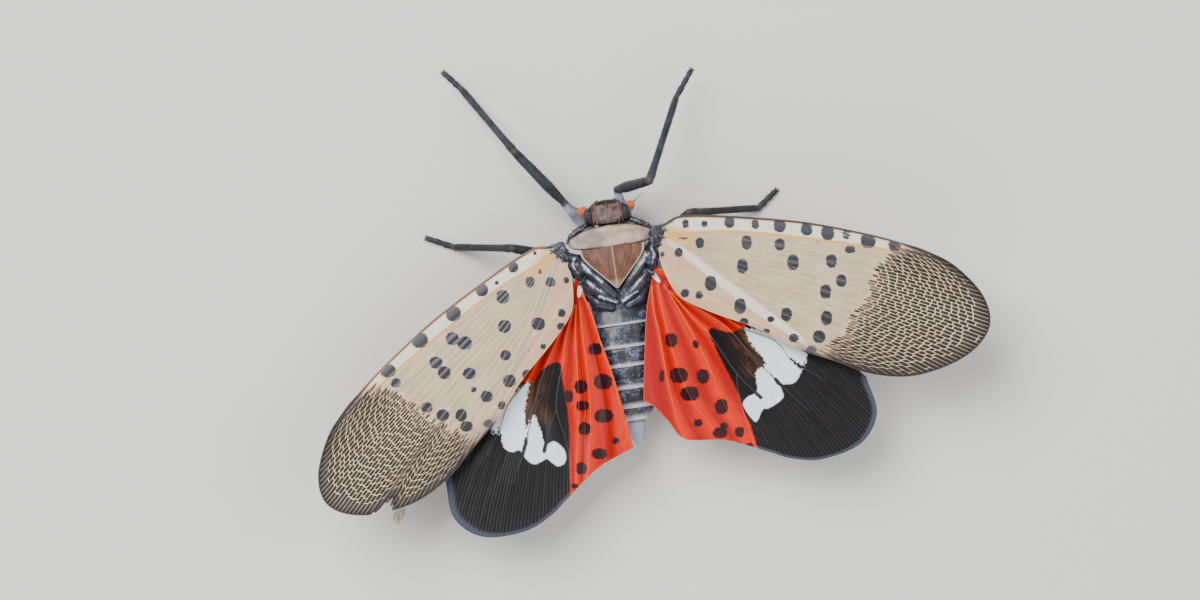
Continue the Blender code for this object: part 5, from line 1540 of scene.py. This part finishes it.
LEG_BLACK, LEG_GREY, LEG_DUST = (0.008, 0.010, 0.014), (0.028, 0.034, 0.046), (0.20, 0.22, 0.26)
COXA_BLUE, COXA_DARK = (0.36, 0.42, 0.52), (0.10, 0.12, 0.16)

leg_finish = Finish("leg", Roughness=0.45)
f = leg_finish
cloud = f.noise(f.place((0.8, 0.8, 0.8)), 4.0, 0.6)
fleck = f.noise(f.place((0.09, 0.09, 0.09)), 4.0, 0.7)
limb = f.mix(cloud.between(0.35, 0.65), LEG_BLACK, LEG_GREY)
limb = f.mix(fleck.between(0.60, 0.78) * 0.7, limb, LEG_DUST)
limb = f.mix(f.attribute("joint") * 0.5, limb, (0.16, 0.10, 0.07))
coxa = f.mix((cloud * 0.6 + fleck * 0.4).between(0.38, 0.62), COXA_DARK, COXA_BLUE)
f.show(f.mix(f.attribute("coxa"), limb, coxa), 0.35 + fleck * 0.35, fleck + cloud, 0.03)

claw_finish = Finish("claw", Roughness=0.25)
f = claw_finish
f.show(f.mix(f.attribute("pad"), f.mix(f.noise(f.place((0.1, 0.1, 0.1))), (0.010, 0.008, 0.008), (0.07, 0.03, 0.02)),
             (0.30, 0.26, 0.22)))


def leg_parts(joints):
    """Centre lines and radii of a leg's parts, from the hip to the toe."""
    hip, root, knee, ankle, toe = (np.array(joint) for joint in joints)
    share = np.linspace(0, 1, 24)[:, None]
    parts = []
    for start, end, places, radii in (
            (hip, root, (0, .55, .85, 1), (.38, .42, .30, .30)),
            (root, knee, (0, .1, .3, .75, .92, 1), (.25, .32, .40, .35, .33, .30)),
            (knee, ankle, (0, .06, .15, .5, .9, 1), (.26, .33, .27, .25, .26, .22))):
        parts.append((start + (end - start) * share, np.interp(share[:, 0], places, radii)))
    for low, high in ((0.03, 0.36), (0.36, 0.66), (0.66, 0.88)):
        run = ankle + (toe - ankle) * (low + (high - low) * share)
        parts.append((run, np.interp(share[:, 0], (0, .15, .8, 1), (.12, .20, .24, .18)) * (1.0 - 0.15 * low)))
    return parts


def build_leg(pair, side):
    """One leg's skin, bristles, claws and spines."""
    label = pair + "_" + SIDE_NAMES[side]
    joints = LEGS[pair, side]
    parts = leg_parts(joints)
    leg = Shape()
    for run, radii in parts:
        leg.tube(run, radii, 20)
    knee, ankle, toe = (np.array(joint) for joint in joints[2:])
    shin = (ankle - knee) / np.linalg.norm(ankle - knee)
    across = np.cross(shin, (0.0, 0.0, 1.0))
    across /= np.linalg.norm(across)
    share = np.linspace(0.10, 0.92, 24)[:, None]
    for turn in np.radians((45, 135, 225, 315)):
        off = (across * math.cos(turn) + np.cross(shin, across) * math.sin(turn)) * 0.235
        leg.tube(knee + (ankle - knee) * share + off, 0.05, 8)
    mesh = leg.skin("leg_" + label, LIMB_VOXEL, 2)
    places = vertex_places(mesh)
    line = np.concatenate([run for run, radii in parts])
    part = np.repeat(np.arange(len(parts)), [len(run) for run, radii in parts])
    step = np.concatenate(([0.0], np.linalg.norm(np.diff(line, axis=0), axis=1)))
    length = np.cumsum(step)
    nearest = np.concatenate([np.argmin(((chunk[:, None, :] - line[None]) ** 2).sum(-1), 1)
                              for chunk in np.array_split(places, len(places) // 4000 + 1)])
    aims = np.gradient(line, axis=0)
    aims /= np.linalg.norm(aims, axis=1, keepdims=True) + 1e-9
    round_z = (places - line[nearest])[:, 2]
    along = length[nearest]
    gaps = np.min([np.linalg.norm(places - joint, axis=1) for joint in (knee, ankle, np.array(joints[1]))], 0)
    share = (places - joints[0]) @ (np.array(joints[1]) - joints[0]) / np.sum((np.array(joints[1]) - joints[0]) ** 2)
    store(mesh, "coxa", np.where(part[nearest] == 0, smooth((0.97 - share) / 0.1), 0.0) * (0.55 if pair != "front" else 1.0))
    store(mesh, "joint", smooth((0.36 - gaps) / 0.10) * 0.6)
    store(mesh, "hairy", np.where(part[nearest] == 0, 0.15, np.where(part[nearest] > 2, 1.3, 1.0)))
    store(mesh, "lay", aims[nearest])
    store(mesh, "unwrap", np.stack((0.02 + 0.95 * along / length[-1], 0.5 + round_z, along * 0), 1))
    keep_above_floor(mesh)
    nodes = [part_name + "_" + label for part_name in ("coxa", "femur", "tibia", "tarsus")]
    add_piece("leg_" + label, mesh, leg_finish, nodes)
    grow_bristles("leg_bristles_" + label, mesh, dark_bristle_finish, 26.0, 0.20, 0.011, 1.6, 20 + len(label))

    aim = (toe - ankle) / np.linalg.norm(toe - ankle)
    spread = np.cross(aim, (0.0, 0.0, 1.0))
    spread /= np.linalg.norm(spread)
    tip = ankle + (toe - ankle) * 0.88
    reach = np.linalg.norm(toe - tip)
    claws = Shape()
    for hand in (-1, 1):
        hook = [tip + aim * reach * a + spread * hand * w + np.array((0, 0, drop))
                for a, w, drop in ((-.2, .05, .02), (.3, .13, .07), (.75, .19, .04), (1.0, .20, -.07))]
        claws.tube(Path(hook).at(np.linspace(0, 1, 14)), np.linspace(.055, .014, 14), 10)
    claws.ball(tip + aim * reach * 0.62 - np.array((0, 0, 0.05)), (.13, .13, .07))
    claw_mesh = new_mesh("claws_" + label, np.array(claws.points), claws.faces)
    face_outwards(claw_mesh)
    keep_above_floor(claw_mesh)
    store(claw_mesh, "pad", np.arange(len(claw_mesh.vertices)) >= len(claw_mesh.vertices) - 422)
    add_piece("claws_" + label, claw_mesh, claw_finish)
    if pair == "hind":
        spines = Shape()
        for n in range(5):
            root = knee + (ankle - knee) * (0.30 + 0.145 * n)
            out = across * (side if across[0] > 0 else -side) * 1.0 + shin * 0.9 + np.array((0, 0, 0.15))
            out /= np.linalg.norm(out)
            spines.tube([root + out * d for d in (0.12, 0.3, 0.5, 0.64)], (.10, .08, .045, .012), 10)
        spine_mesh = new_mesh("spines_" + label, np.array(spines.points), spines.faces)
        face_outwards(spine_mesh)
        keep_above_floor(spine_mesh)
        store(spine_mesh, "pad", np.zeros(len(spine_mesh.vertices)))
        add_piece("spines_" + label, spine_mesh, claw_finish)


for leg_pair, leg_side in LEGS:
    build_leg(leg_pair, leg_side)
